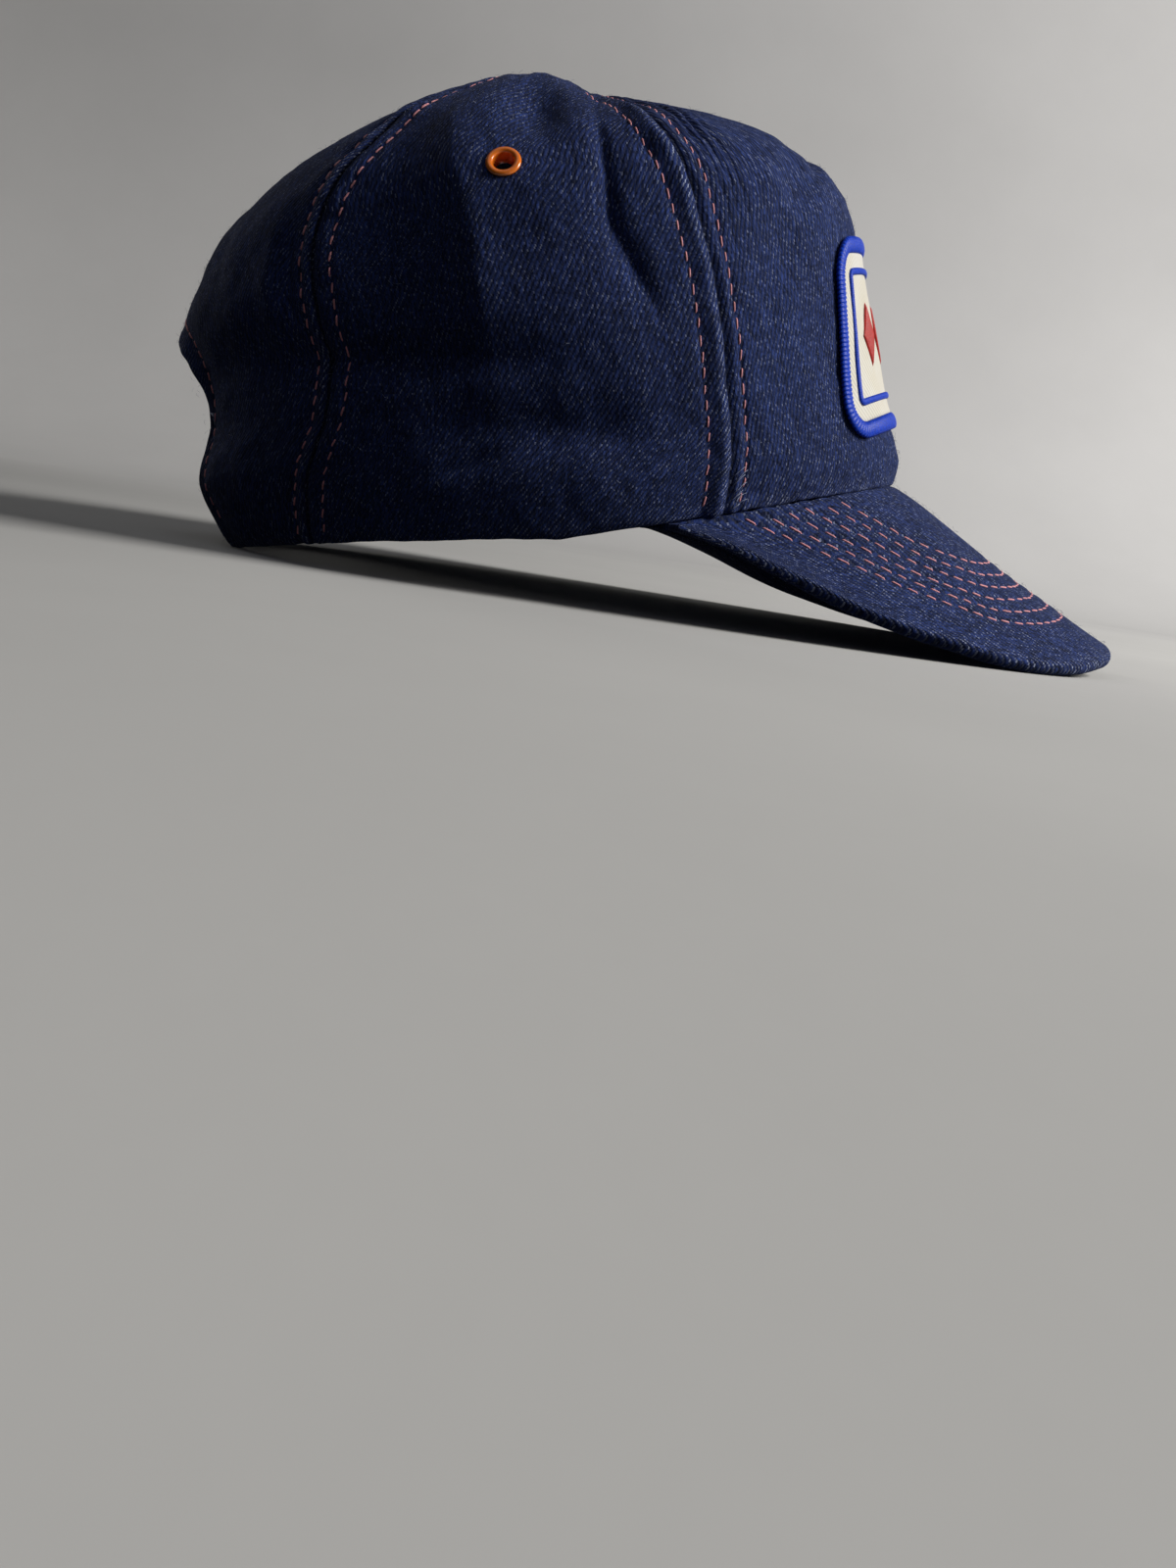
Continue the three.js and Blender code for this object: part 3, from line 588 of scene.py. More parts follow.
def shell(points, thickness, reach=None):
    """Wall inside a grid: its two skins turn in over a reach, in half an oval, and meet at the edges.

    Gives the vertices, the vertex numbers of the outer and inner skin, and each skin point's grid place.
    """
    normals = grid_normals(points)
    thickness = np.broadcast_to(np.asarray(thickness, float), points.shape[:2])
    r = thickness / 2
    inwards = 1 - np.minimum(edge_distance(points) / (r if reach is None else reach), 1)
    turn_in = r * (1 - np.sqrt(1 - inwards ** 2))
    outer = points - normals * turn_in[..., None]
    inner = points - normals * (thickness - turn_in)[..., None]
    rows, columns = points.shape[:2]
    outer_index = np.arange(rows * columns).reshape(rows, columns)
    inner_index = outer_index.copy()
    inside = (slice(1, -1), slice(1, -1))
    inner_count = (rows - 2) * (columns - 2)
    inner_index[inside] = rows * columns + np.arange(inner_count).reshape(rows - 2, columns - 2)
    vertices = np.concatenate([outer.reshape(-1, 3), inner[inside].reshape(-1, 3)])
    place = np.concatenate([outer_index.ravel(), outer_index[inside].ravel()])
    return vertices, outer_index, inner_index, place


def skin_faces(outer, inner):
    """Faces of a wall's two skins, which look away from each other."""
    return np.concatenate([grid_faces(outer), grid_faces(inner)[:, ::-1]])


def make_mesh(name, vertices, faces, materials, face_material=None, uv=None, wear_and_shade=None):
    """Smooth mesh piece from vertices in the cap frame, with a UV map in mm and an attribute of wear and
    painted seam shade.
    """
    mesh = bpy.data.meshes.new(name)
    mesh.from_pydata(rest(vertices), [], [list(f) for f in faces])
    mesh.polygons.foreach_set("use_smooth", np.ones(len(mesh.polygons), bool))
    for material in materials:
        mesh.materials.append(material)
    if face_material is not None:
        mesh.polygons.foreach_set("material_index", np.asarray(face_material, np.int32))
    if uv is not None:
        corner = np.empty(len(mesh.loops), np.int32)
        mesh.loops.foreach_get("vertex_index", corner)
        layer = mesh.uv_layers.new(name="cloth")
        layer.uv.foreach_set("vector", np.asarray(uv, np.float32)[corner].ravel())
    if wear_and_shade is not None:
        layer = mesh.attributes.new("wear_and_shade", "FLOAT", "POINT")
        layer.data.foreach_set("value", np.asarray(wear_and_shade, np.float32))
    mesh.update()
    piece = bpy.data.objects.new(name, mesh)
    bpy.context.scene.collection.objects.link(piece)
    return piece


def finish_piece(piece, slot, *nodes):
    """The piece moves with the cap and stands for the named solids. The slot is not used."""
    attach(piece, BODY)
    if nodes:
        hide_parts(*nodes)
    return piece


def turn_uv(uv, degrees):
    """UV coordinates turned by an angle."""
    c, s = math.cos(math.radians(degrees)), math.sin(math.radians(degrees))
    return np.stack([uv[..., 0] * c + uv[..., 1] * s, uv[..., 1] * c - uv[..., 0] * s], -1)


def seam_panel(name, azimuth, level, sizes, grain, hole=None):
    """Cloth panel over a grid of azimuths and levels. grain turns its weave, hole is a ring of the grid."""
    points = cloth_point(azimuth, level)
    vertices, outer, inner, place = shell(points, sizes.cloth / MM, SEAM_ROUND)
    # Cloth that would reach below the table lies flat on it
    lift = np.maximum(-(turned(vertices)[:, 2] + REST_UP), 0)[:, None]
    vertices = vertices + lift * np.array((math.sin(TILT), 0, math.cos(TILT)))
    half = points.shape[1] // 2
    middle = slice(half, half + 1)
    along = lengths_along(points, 1)
    up = lengths_along(points, 0)
    uv = np.stack([along - along[:, middle], np.broadcast_to(up[:, middle], along.shape)], -1)
    uv = turn_uv(uv, grain).reshape(-1, 2)[place]
    distances = seam_distances(azimuth, level)
    rim = bell(up, 1.0, 2.5) + 0.6 * bell(arch_distance(azimuth, level), 1.0, 1.8)
    # Wear on the seam ridges and rims, less painted shade in the seam grooves, which goes below 0
    wear_and_shade = np.clip(sum(bell(d, 1.6, 1.0) for d in distances) + 0.5 * rim, 0, 1)
    wear_and_shade = (wear_and_shade - np.clip(sum(bell(d, 0, 0.5) for d in distances), 0, 1)).ravel()[place]
    outer_faces, inner_faces = grid_faces(outer), grid_faces(inner)[:, ::-1]
    walls = np.empty((0, 4), int)
    if hole is not None:
        row, column, ring = hole
        cells = np.zeros((outer.shape[0] - 1, outer.shape[1] - 1), bool)
        cells[row - ring:row + ring, column - ring:column + ring] = True
        outer_faces, inner_faces = outer_faces[~cells.ravel()], inner_faces[~cells.ravel()]
        loops = [square_loop(index, row, column, ring) for index in (outer, inner)]
        walls = grid_faces(np.stack(loops), loop_columns=True)
    faces = np.concatenate([outer_faces, walls, inner_faces])
    inside = np.r_[np.zeros(len(outer_faces) + len(walls), int), np.ones(len(inner_faces), int)]
    return make_mesh(name, vertices, faces, denim_pair(), inside, uv, wear_and_shade)


def square_loop(index, row, column, ring):
    """Vertex numbers round a square ring of a grid, in one turn."""
    block = index[row - ring:row + ring + 1, column - ring:column + ring + 1]
    return np.concatenate([block[0, :-1], block[:-1, -1], block[-1, :0:-1], block[:0:-1, 0]])


def panel_grid(from_seam, to_seam, shares, rows):
    """Azimuths and levels of a panel between two seams, from its lower edge to the button."""
    start = low_level(mix(from_seam(0.0), to_seam(0.0), shares))
    level = mix(start, TOP_LEVEL, edge_crowd(rows)[:, None])
    radius = np.maximum(through_rows(CROWN_LEVELS["side"], level), 1)
    past = np.degrees(SEAM_OVERLAP / radius)
    azimuth = mix(from_seam(level) - past, to_seam(level) + past, shares)
    return azimuth, level


def open_hole(azimuth, level, hole_azimuth, hole_level, ring, reach):
    """Moves grid lines aside so that a square ring of cells becomes a round hole at a given place.

    The nearest grid point moves onto the place. Rings of cells about it become circles, less and less so out
    to the ring called reach.
    """
    along, up = steps_along(np.array(hole_azimuth), np.array(hole_level))
    e1 = unit(along)
    e2 = unit(up - e1 * np.dot(up, e1))
    to_plane = np.array([[np.dot(along, e1), np.dot(up, e1)], [0, np.dot(up, e2)]])
    plane = np.stack([azimuth - hole_azimuth, level - hole_level], -1) @ to_plane.T
    row, column = np.unravel_index(np.argmin(np.linalg.norm(plane, axis=-1)), azimuth.shape)
    rows, columns = np.indices(azimuth.shape)
    rings = np.maximum(np.abs(rows - row), np.abs(columns - column))
    plane = plane - plane[row, column] * np.exp(-(rings / (1.5 * reach)) ** 2)[..., None]
    circle = unit(plane) * (EYELET_HOLE * rings / ring)[..., None]
    share = np.clip((reach - rings) / (reach - ring), 0, 1)[..., None]
    moved = mix(plane, circle, share) @ np.linalg.inv(to_plane).T
    return hole_azimuth + moved[..., 0], hole_level + moved[..., 1], (row, column, ring)


def lathe(profile, sides, place, axis):
    """Radius and height rows of a profile turned about an axis at a place: vertices and closed quads."""
    axis = unit(np.asarray(axis, float))
    e1 = unit(np.cross(axis, (0.0, 1.0, 0.0) if abs(axis[1]) < 0.9 else (1.0, 0.0, 0.0)))
    e2 = np.cross(axis, e1)
    turn = np.linspace(0, 2 * np.pi, sides, endpoint=False)
    rim = np.cos(turn)[:, None] * e1 + np.sin(turn)[:, None] * e2
    profile = np.asarray(profile, float)
    vertices = place + profile[:, None, :1] * rim[None] + profile[:, None, 1:] * axis
    index = np.arange(len(profile) * sides).reshape(len(profile), sides)
    return vertices.reshape(-1, 3), grid_faces(index, loop_rows=True, loop_columns=True)


def sewn_row(points, normals, pitch, length, thread, seed):
    """Stitches along a path: short rounded rods that follow it, arch a little and dive in at both ends.

    Each stitch has its own small slip along and aside, its own length and its own pull into the cloth.
    """
    rings, sides = 7, 6
    rng = np.random.default_rng(seed)
    covered = lengths_along(points[None], 1)[0]
    count = int(covered[-1] // pitch)
    middle = (np.arange(count) + 0.5) * pitch + (covered[-1] - count * pitch) / 2
    middle = middle + pitch * rng.uniform(-0.05, 0.05, count)
    length = length * rng.uniform(0.84, 1.08, count)
    share = np.linspace(-1, 1, rings)
    at = middle[:, None] + share * length[:, None] / 2
    centre = np.stack([np.interp(at, covered, points[:, k]) for k in range(3)], -1)
    normal = unit(np.stack([np.interp(at, covered, normals[:, k]) for k in range(3)], -1))
    forward = unit(np.gradient(centre, axis=1))
    sideways = np.cross(forward, normal)
    radius = thread / 2 * np.sqrt(np.maximum(1 - share ** 8, 0.01))
    arch = thread * (0.36 - 0.5 * share ** 6 + rng.uniform(-0.22, 0.08, count)[:, None])
    aside = thread * (rng.normal(0, 0.16, count)[:, None] + 0.42 * share)
    turn = np.linspace(0, 2 * np.pi, sides, endpoint=False)
    section = np.cos(turn)[:, None] * sideways[:, :, None] + np.sin(turn)[:, None] * normal[:, :, None]
    axis = centre + normal * arch[..., None] + sideways * aside[..., None]
    vertices = axis[:, :, None] + section * radius[:, None, None]
    index = np.arange(count * rings * sides).reshape(count, rings, sides)
    wrapped = np.concatenate([index, index[:, :, :1]], 2)
    corners = (wrapped[:, :-1, :-1], wrapped[:, 1:, :-1], wrapped[:, 1:, 1:], wrapped[:, :-1, 1:])
    quads = np.stack([c.ravel() for c in corners], -1)
    ends = np.concatenate([index[:, 0], index[:, -1, ::-1]])
    return vertices.reshape(-1, 3), quads, ends


def joined(parts):
    """One list of vertices and one of faces from several."""
    starts = np.cumsum([0] + [len(vertices) for vertices, _ in parts])
    faces = np.concatenate([faces + start for (_, faces), start in zip(parts, starts)])
    return np.concatenate([vertices for vertices, _ in parts]), faces


def join_rows(rows):
    """One list of vertices and one of faces from several rows of stitches."""
    vertices, faces, start = [], [], 0
    for points, quads, ends in rows:
        vertices.append(points)
        faces += (quads + start).tolist() + (ends + start).tolist()
        start += len(points)
    return np.concatenate(vertices), faces


# Materials

def feed(tree, node, inputs):
    """Sets a node's inputs, by socket number or name, to values, or links them to nodes or sockets."""
    for key, value in inputs.items():
        if isinstance(value, bpy.types.Node):
            value = value.outputs[0]
        if isinstance(value, bpy.types.NodeSocket):
            tree.links.new(value, node.inputs[key])
        else:
            node.inputs[key].default_value = value


def add(tree, kind, inputs=None, **settings):
    """Adds a shader node of a kind, with its settings and its inputs."""
    node = tree.nodes.new(kind)
    for name, value in settings.items():
        setattr(node, name, value)
    feed(tree, node, inputs or {})
    return node


def new_material(name):
    """Empty node material with a Principled shader on its output."""
    material = bpy.data.materials.new(name)
    material.use_nodes = True
    tree = material.node_tree
    return material, tree, tree.nodes["Principled BSDF"]


def rgba(colour):
    """Colour with full alpha."""
    return (*colour, 1.0)


def denim(name, reverse):
    """Indigo denim, a 3/1 twill: dark warp ribs on the face with pale weft flecks between them.

    The ribs run where warp minus weft count is constant, four yarns apart. The reverse shows mostly weft.
    """
    sizes, colours = bpy.context.scene.cap_sizes, bpy.context.scene.cap_colours
    material, t, shader = new_material(name)
    cloth = add(t, "ShaderNodeUVMap", uv_map="cloth")
    # Yarns wander by a fraction of a millimetre over about 7 mm
    drift = add(t, "ShaderNodeTexNoise", {"Vector": cloth, "Scale": 0.15, "Detail": 2.0})
    place = add(t, "ShaderNodeVectorMath", {0: drift.outputs["Color"], 1: (0.5, 0.5, 0.0), 2: cloth},
                operation="MULTIPLY_ADD")
    axes = add(t, "ShaderNodeSeparateXYZ", {0: place})
    warp = add(t, "ShaderNodeMath", {0: axes.outputs[0], 1: sizes.warp_pitch / MM}, operation="DIVIDE")
    weft = add(t, "ShaderNodeMath", {0: axes.outputs[1], 1: sizes.weft_pitch / MM}, operation="DIVIDE")
    warp_count = add(t, "ShaderNodeMath", {0: warp}, operation="FLOOR")
    weft_count = add(t, "ShaderNodeMath", {0: weft}, operation="FLOOR")
    # Smooth rib between the yarns' steps, from 0 in the furrow to 1 on the rib
    slant = add(t, "ShaderNodeMath", {0: warp, 1: weft}, operation="SUBTRACT")
    wave = add(t, "ShaderNodeMath", {0: slant, 1: math.pi / 2}, operation="MULTIPLY")
    cosine = add(t, "ShaderNodeMath", {0: wave}, operation="COSINE")
    rib = add(t, "ShaderNodeMath", {0: cosine, 1: -0.5, 2: 0.5}, operation="MULTIPLY_ADD")
    # Cells where the weft passes over: most of it dull, some bright, more of it on worn edges
    count = add(t, "ShaderNodeMath", {0: warp_count, 1: weft_count}, operation="SUBTRACT")
    step = add(t, "ShaderNodeMath", {0: count, 1: 4.0}, operation="FLOORED_MODULO")
    over = add(t, "ShaderNodeMath", {0: step, 1: 0.5}, operation="LESS_THAN")
    cell = add(t, "ShaderNodeCombineXYZ", {0: warp_count, 1: weft_count})
    chance = add(t, "ShaderNodeTexWhiteNoise", {"Vector": cell}, noise_dimensions="3D").outputs["Value"]
    bright = add(t, "ShaderNodeMath", {0: chance, 1: 5.0}, operation="POWER")
    fleck = add(t, "ShaderNodeMath", {0: bright, 1: 0.4, 2: 0.05}, operation="MULTIPLY_ADD")
    wear_and_shade = add(t, "ShaderNodeAttribute", attribute_name="wear_and_shade").outputs["Fac"]
    edge = add(t, "ShaderNodeMath", {0: wear_and_shade, 1: 0.0}, operation="MAXIMUM")
    rubbed = add(t, "ShaderNodeMath", {0: edge, 1: chance}, operation="MULTIPLY")
    worn = add(t, "ShaderNodeMath", {0: rubbed, 1: 0.5, 2: fleck}, operation="MULTIPLY_ADD")
    weft_shows = add(t, "ShaderNodeMath", {0: over, 1: worn}, operation="MULTIPLY")
    # Slubs: each warp yarn is thicker and paler over stretches of about 30 mm
    yarn_place = add(t, "ShaderNodeVectorMath", {0: cell, 1: (0.71, 0.02, 0.0)}, operation="MULTIPLY")
    slub = add(t, "ShaderNodeTexNoise", {"Vector": yarn_place, "Scale": 1.0, "Detail": 2.0})
    fade = add(t, "ShaderNodeTexNoise", {"Vector": cloth, "Scale": 0.035, "Detail": 3.0})
    tone = add(t, "ShaderNodeMath", {0: slub, 1: 0.9, 2: -0.3}, operation="MULTIPLY_ADD")
    tone = add(t, "ShaderNodeMath", {0: fade, 1: 0.5, 2: tone}, operation="MULTIPLY_ADD", use_clamp=True)
    yarn = add(t, "ShaderNodeMix", {0: tone, 6: rgba(colours.indigo), 7: rgba(colours.faded)},
               data_type="RGBA")
    # The furrows lie in the ribs' shade, and painted shade darkens the seam grooves, where the attribute is
    # below 0
    painted_seam_shade = add(t, "ShaderNodeMapRange", {0: wear_and_shade, 1: -1.0, 2: 0.0, 3: 0.08, 4: 1.0})
    shade = add(t, "ShaderNodeMath", {0: rib, 1: 0.4, 2: 0.65}, operation="MULTIPLY_ADD")
    shade = add(t, "ShaderNodeMath", {0: shade, 1: painted_seam_shade}, operation="MULTIPLY")
    cell_tone = add(t, "ShaderNodeMapRange", {0: chance, 3: 0.45, 4: 1.55})
    shade = add(t, "ShaderNodeMath", {0: shade, 1: cell_tone}, operation="MULTIPLY")
    # A warp yarn floats over three wefts at a time, and each float has its own tone
    rise = add(t, "ShaderNodeMath", {0: count, 1: -0.25}, operation="MULTIPLY")
    float_count = add(t, "ShaderNodeMath", {0: rise}, operation="FLOOR")
    float_cell = add(t, "ShaderNodeCombineXYZ", {0: warp_count, 1: float_count, 2: 0.5})
    float_noise = add(t, "ShaderNodeTexWhiteNoise", {"Vector": float_cell}, noise_dimensions="3D")
    float_chance = float_noise.outputs["Value"]
    float_tone = add(t, "ShaderNodeMapRange", {0: float_chance, 3: 0.45, 4: 1.55})
    shade = add(t, "ShaderNodeMath", {0: shade, 1: float_tone}, operation="MULTIPLY")
    shaded = add(t, "ShaderNodeVectorMath", {0: yarn.outputs[2], "Scale": shade}, operation="SCALE")
    if reverse:
        weft_shows = add(t, "ShaderNodeMath", {0: rib, 1: 0.3, 2: 0.35}, operation="MULTIPLY_ADD")
    woven = add(t, "ShaderNodeMix", {0: weft_shows, 6: shaded, 7: rgba(colours.weft)}, data_type="RGBA")
    # A few white neps, drawn about 0.3 mm wide so that they show
    nep = add(t, "ShaderNodeTexVoronoi", {"Vector": cloth, "Scale": 0.5})
    speck = add(t, "ShaderNodeMath", {0: nep.outputs["Distance"], 1: 0.09}, operation="LESS_THAN")
    draw = add(t, "ShaderNodeSeparateColor", {0: nep.outputs["Color"]})
    few = add(t, "ShaderNodeMath", {0: draw.outputs[0], 1: 0.95}, operation="GREATER_THAN")
    shows = add(t, "ShaderNodeMath", {0: speck, 1: few}, operation="MULTIPLY")
    shows = add(t, "ShaderNodeMath", {0: shows, 1: 0.6}, operation="MULTIPLY")
    colour = add(t, "ShaderNodeMix", {0: shows, 6: woven.outputs[2], 7: rgba(colours.weft)},
                 data_type="RGBA")
    # Ribs and yarns stand up by about 0.1 mm
    fuzz = add(t, "ShaderNodeTexNoise", {"Vector": cloth, "Scale": 2.2, "Detail": 4.0, "Roughness": 0.7})
    height = add(t, "ShaderNodeMath", {0: fuzz, 1: 1.6, 2: rib}, operation="MULTIPLY_ADD")
    bump = add(t, "ShaderNodeBump", {"Strength": 1.0, "Distance": 0.13 * MM, "Height": height})
    feed(t, shader, {"Base Color": colour.outputs[2], "Normal": bump, "Roughness": 0.9,
                     "Specular IOR Level": 0.12, "Sheen Weight": 0.05, "Sheen Roughness": 0.45,
                     "Sheen Tint": rgba(hex_colour("#8e9bcb"))})
    return material


def denim_pair():
    """Denim for the face and the reverse of a panel, made once."""
    pair = []
    for name, reverse in (("indigo_denim", False), ("indigo_denim_reverse", True)):
        pair.append(bpy.data.materials.get(name) or denim(name, reverse))
    return pair


def spun_thread(name, colour, shine):
    """Twisted sewing or embroidery thread: filament that catches a soft light, with darker stretches."""
    existing = bpy.data.materials.get(name)
    if existing:
        return existing
    material, t, shader = new_material(name)
    place = add(t, "ShaderNodeTexCoord").outputs["Object"]
    # Plies about 0.4 mm apart
    ply = add(t, "ShaderNodeTexNoise", {"Vector": place, "Scale": 1 / (0.4 * MM), "Detail": 3.0})
    dark = tuple(0.65 * c for c in colour)
    tone = add(t, "ShaderNodeMapRange", {0: ply, 1: 0.35, 2: 0.62})
    mixed = add(t, "ShaderNodeMix", {0: tone, 6: rgba(dark), 7: rgba(colour)}, data_type="RGBA")
    bump = add(t, "ShaderNodeBump", {"Strength": 0.5, "Distance": 0.1 * MM, "Height": ply})
    feed(t, shader, {"Base Color": mixed.outputs[2], "Normal": bump, "Roughness": shine,
                     "Specular IOR Level": 0.22})
    return material


def patch_twill():
    """White cotton twill of the patch: fine diagonal ribs, slightly creamy in patches."""
    colours = bpy.context.scene.cap_colours
    material, t, shader = new_material("cotton_twill")
    cloth = add(t, "ShaderNodeUVMap", uv_map="cloth")
    # Ribs 0.9 mm apart, coarser than real so that they show
    rib_scale = 1 / (0.9 * 2 * math.pi) * 2.2
    ribs = add(t, "ShaderNodeTexWave", {"Vector": cloth, "Scale": rib_scale, "Distortion": 0.6},
               bands_direction="DIAGONAL")
    stain = add(t, "ShaderNodeTexNoise", {"Vector": cloth, "Scale": 0.08, "Detail": 4.0})
    tone = add(t, "ShaderNodeMapRange", {0: stain, 1: 0.3, 2: 0.7})
    cream = tuple(c * f for c, f in zip(colours.twill, (0.93, 0.89, 0.8)))
    base = add(t, "ShaderNodeMix", {0: tone, 6: rgba(cream), 7: rgba(colours.twill)}, data_type="RGBA")
    shade = add(t, "ShaderNodeMath", {0: ribs.outputs["Fac"], 1: 0.16, 2: 0.84}, operation="MULTIPLY_ADD")
    colour = add(t, "ShaderNodeMix", {0: 1.0, 6: base.outputs[2], 7: shade}, data_type="RGBA",
                 blend_type="MULTIPLY")
    bump = add(t, "ShaderNodeBump", {"Strength": 0.6, "Distance": 0.15 * MM, "Height": ribs.outputs["Fac"]})
    feed(t, shader, {"Base Color": colour.outputs[2], "Normal": bump, "Roughness": 0.85,
                     "Sheen Weight": 0.15})
    return material


def eyelet_enamel():
    """Stoved enamel on a pressed eyelet: glossy paint with a faint orange peel and a few dull rubs."""
    colours = bpy.context.scene.cap_colours
    material, t, shader = new_material("stoved_enamel")
    place = add(t, "ShaderNodeTexCoord").outputs["Object"]
    # Rubs about 2 mm across, orange peel about 0.6 mm
    rub = add(t, "ShaderNodeTexNoise", {"Vector": place, "Scale": 1 / (2 * MM), "Detail": 4.0})
    tone = add(t, "ShaderNodeMapRange", {0: rub, 1: 0.35, 2: 0.7, 3: 0.0, 4: 0.35})
    dull = tuple(0.6 * c for c in colours.enamel)
    colour = add(t, "ShaderNodeMix", {0: tone, 6: rgba(colours.enamel), 7: rgba(dull)}, data_type="RGBA")
    rough = add(t, "ShaderNodeMapRange", {0: rub, 1: 0.3, 2: 0.7, 3: 0.16, 4: 0.34})
    peel = add(t, "ShaderNodeTexNoise", {"Vector": place, "Scale": 1 / (0.6 * MM), "Detail": 1.0})
    bump = add(t, "ShaderNodeBump", {"Strength": 0.25, "Distance": 0.05 * MM, "Height": peel})
    feed(t, shader, {"Base Color": colour.outputs[2], "Roughness": rough, "Normal": bump,
                     "Coat Weight": 0.4, "Coat Roughness": 0.12})
    return material


def strap_plastic():
    """Injection-moulded polyethylene: satin, with a fine spark-eroded grain and scuffs."""
    colours = bpy.context.scene.cap_colours
    material, t, shader = new_material("moulded_polyethylene")
    place = add(t, "ShaderNodeTexCoord").outputs["Object"]
    # Grain 0.5 mm, scuffs about 8 mm
    grain = add(t, "ShaderNodeTexNoise", {"Vector": place, "Scale": 1 / (0.5 * MM), "Detail": 2.0})
    scuff = add(t, "ShaderNodeTexNoise",
                {"Vector": place, "Scale": 1 / (8 * MM), "Detail": 6.0, "Roughness": 0.65})
    tone = add(t, "ShaderNodeMapRange", {0: scuff, 1: 0.4, 2: 0.75, 3: 0.0, 4: 0.5})
    pale = tuple(0.04 + 1.6 * c for c in colours.plastic)
    colour = add(t, "ShaderNodeMix", {0: tone, 6: rgba(colours.plastic), 7: rgba(pale)}, data_type="RGBA")
    rough = add(t, "ShaderNodeMapRange", {0: scuff, 1: 0.3, 2: 0.7, 3: 0.36, 4: 0.58})
    bump = add(t, "ShaderNodeBump", {"Strength": 0.35, "Distance": 0.06 * MM, "Height": grain})
    feed(t, shader, {"Base Color": colour.outputs[2], "Roughness": rough, "Normal": bump})
    return material


def stage_plaster():
    """Matt pale plaster of the stage, with soft trowel marks and painted shade that darkens it to the left.
    """
    material, t, shader = new_material("matt_plaster")
    place = add(t, "ShaderNodeTexCoord").outputs["Object"]
    axes = add(t, "ShaderNodeSeparateXYZ", {0: place})
    depth = add(t, "ShaderNodeMapRange", {0: axes.outputs[1], 1: 0.15, 2: 1.2},
                interpolation_type="SMOOTHSTEP")
    floor, wall = rgba(hex_colour("#d8d7d4")), rgba(hex_colour("#eeedec"))
    base = add(t, "ShaderNodeMix", {0: depth, 6: floor, 7: wall}, data_type="RGBA")
    # Painted shade: darker to the left, over 0.6 m of the floor and 1.8 m of the backdrop
    spread = add(t, "ShaderNodeMapRange", {0: depth, 3: 0.3, 4: 0.9})
    across = add(t, "ShaderNodeMath", {0: axes.outputs[0], 1: spread}, operation="DIVIDE")
    dark_end = add(t, "ShaderNodeMapRange", {0: depth, 3: 0.55, 4: 0.62})
    light_end = add(t, "ShaderNodeMapRange", {0: depth, 3: 1.15, 4: 1.1})
    painted_shade_to_left = add(t, "ShaderNodeMapRange", {0: across, 1: -1.0, 2: 1.0, 3: dark_end, 4: light_end})
    # Marks 0.1 to 0.3 m long
    trowel = add(t, "ShaderNodeTexNoise", {"Vector": place, "Scale": 4.0, "Detail": 7.0, "Roughness": 0.6})
    tone = add(t, "ShaderNodeMapRange", {0: trowel, 1: 0.3, 2: 0.7, 3: 0.93, 4: 1.0})
    tone = add(t, "ShaderNodeMath", {0: tone, 1: painted_shade_to_left}, operation="MULTIPLY")
    colour = add(t, "ShaderNodeVectorMath", {0: base.outputs[2], "Scale": tone}, operation="SCALE")
    bump = add(t, "ShaderNodeBump", {"Strength": 0.25, "Distance": 2 * MM, "Height": trowel})
    feed(t, shader, {"Base Color": colour, "Normal": bump, "Roughness": 0.95})
    return material


# Pieces

class CAP_OT_panels(bpy.types.Operator):
    """Sew the five denim panels of the crown"""

    bl_idname = "cap.panels"
    bl_label = "Crown panels"

    def execute(self, context):
        sizes = context.scene.cap_sizes
        columns, rows = GRID["front"]
        front = panel_grid(self.seam("front", -1), self.seam("front", 1), edge_crowd(columns), rows)
        piece = seam_panel("front_panel_cloth", *front, sizes, GRAIN["front"])
        finish_piece(piece, "denim", "front_panel")
        for word, side in (("left", 1), ("right", -1)):
            columns, rows = GRID["side"]
            seams = [self.seam(name, side) for name in ("front", "rear")][::side]
            azimuth, level = panel_grid(*seams, edge_crowd(columns), rows)
            eyelet = side * EYELET_AZIMUTH, EYELET_LEVEL
            azimuth, level, hole = open_hole(azimuth, level, *eyelet, *EYELET_RINGS)
            piece = seam_panel(f"side_panel_{word}_cloth", azimuth, level, sizes, GRAIN["side"], hole)
            finish_piece(piece, "denim", f"side_panel_{word}")
            columns, rows = GRID["back"]
            seams = [self.seam(name, side) for name in ("rear", "centre")][::side]
            azimuth, level = panel_grid(*seams, self.arch_shares(columns, side), rows)
            piece = seam_panel(f"back_panel_{word}_cloth", azimuth, level, sizes, GRAIN["back"])
            finish_piece(piece, "denim", f"back_panel_{word}")
        return {"FINISHED"}

    def seam(self, name, side):
        """Function that gives the azimuth of a seam on one side at a level."""
        if name == "centre":
            return lambda level: np.full_like(level, side * CENTRE_BACK)
        return lambda level: side * seam_azimuth(name, level)

    def arch_shares(self, count, side):
        """Shares across a back panel from its first seam; a sine crowds them at the arch's steep side."""
        arch = ARCH_REACH / (CENTRE_BACK - SEAMS["rear"][0])
        even = edge_crowd(count)
        low = np.clip(even / ARCH_COLUMN_SHARE, 0, 1)
        high = np.clip((even - ARCH_COLUMN_SHARE) / (1 - ARCH_COLUMN_SHARE), 0, 1)
        from_back = arch * np.sin(low * np.pi / 2) ** (2 / ARCH_SQUARE) + (1 - arch) * high
        return from_back if side < 0 else 1 - from_back[::-1]


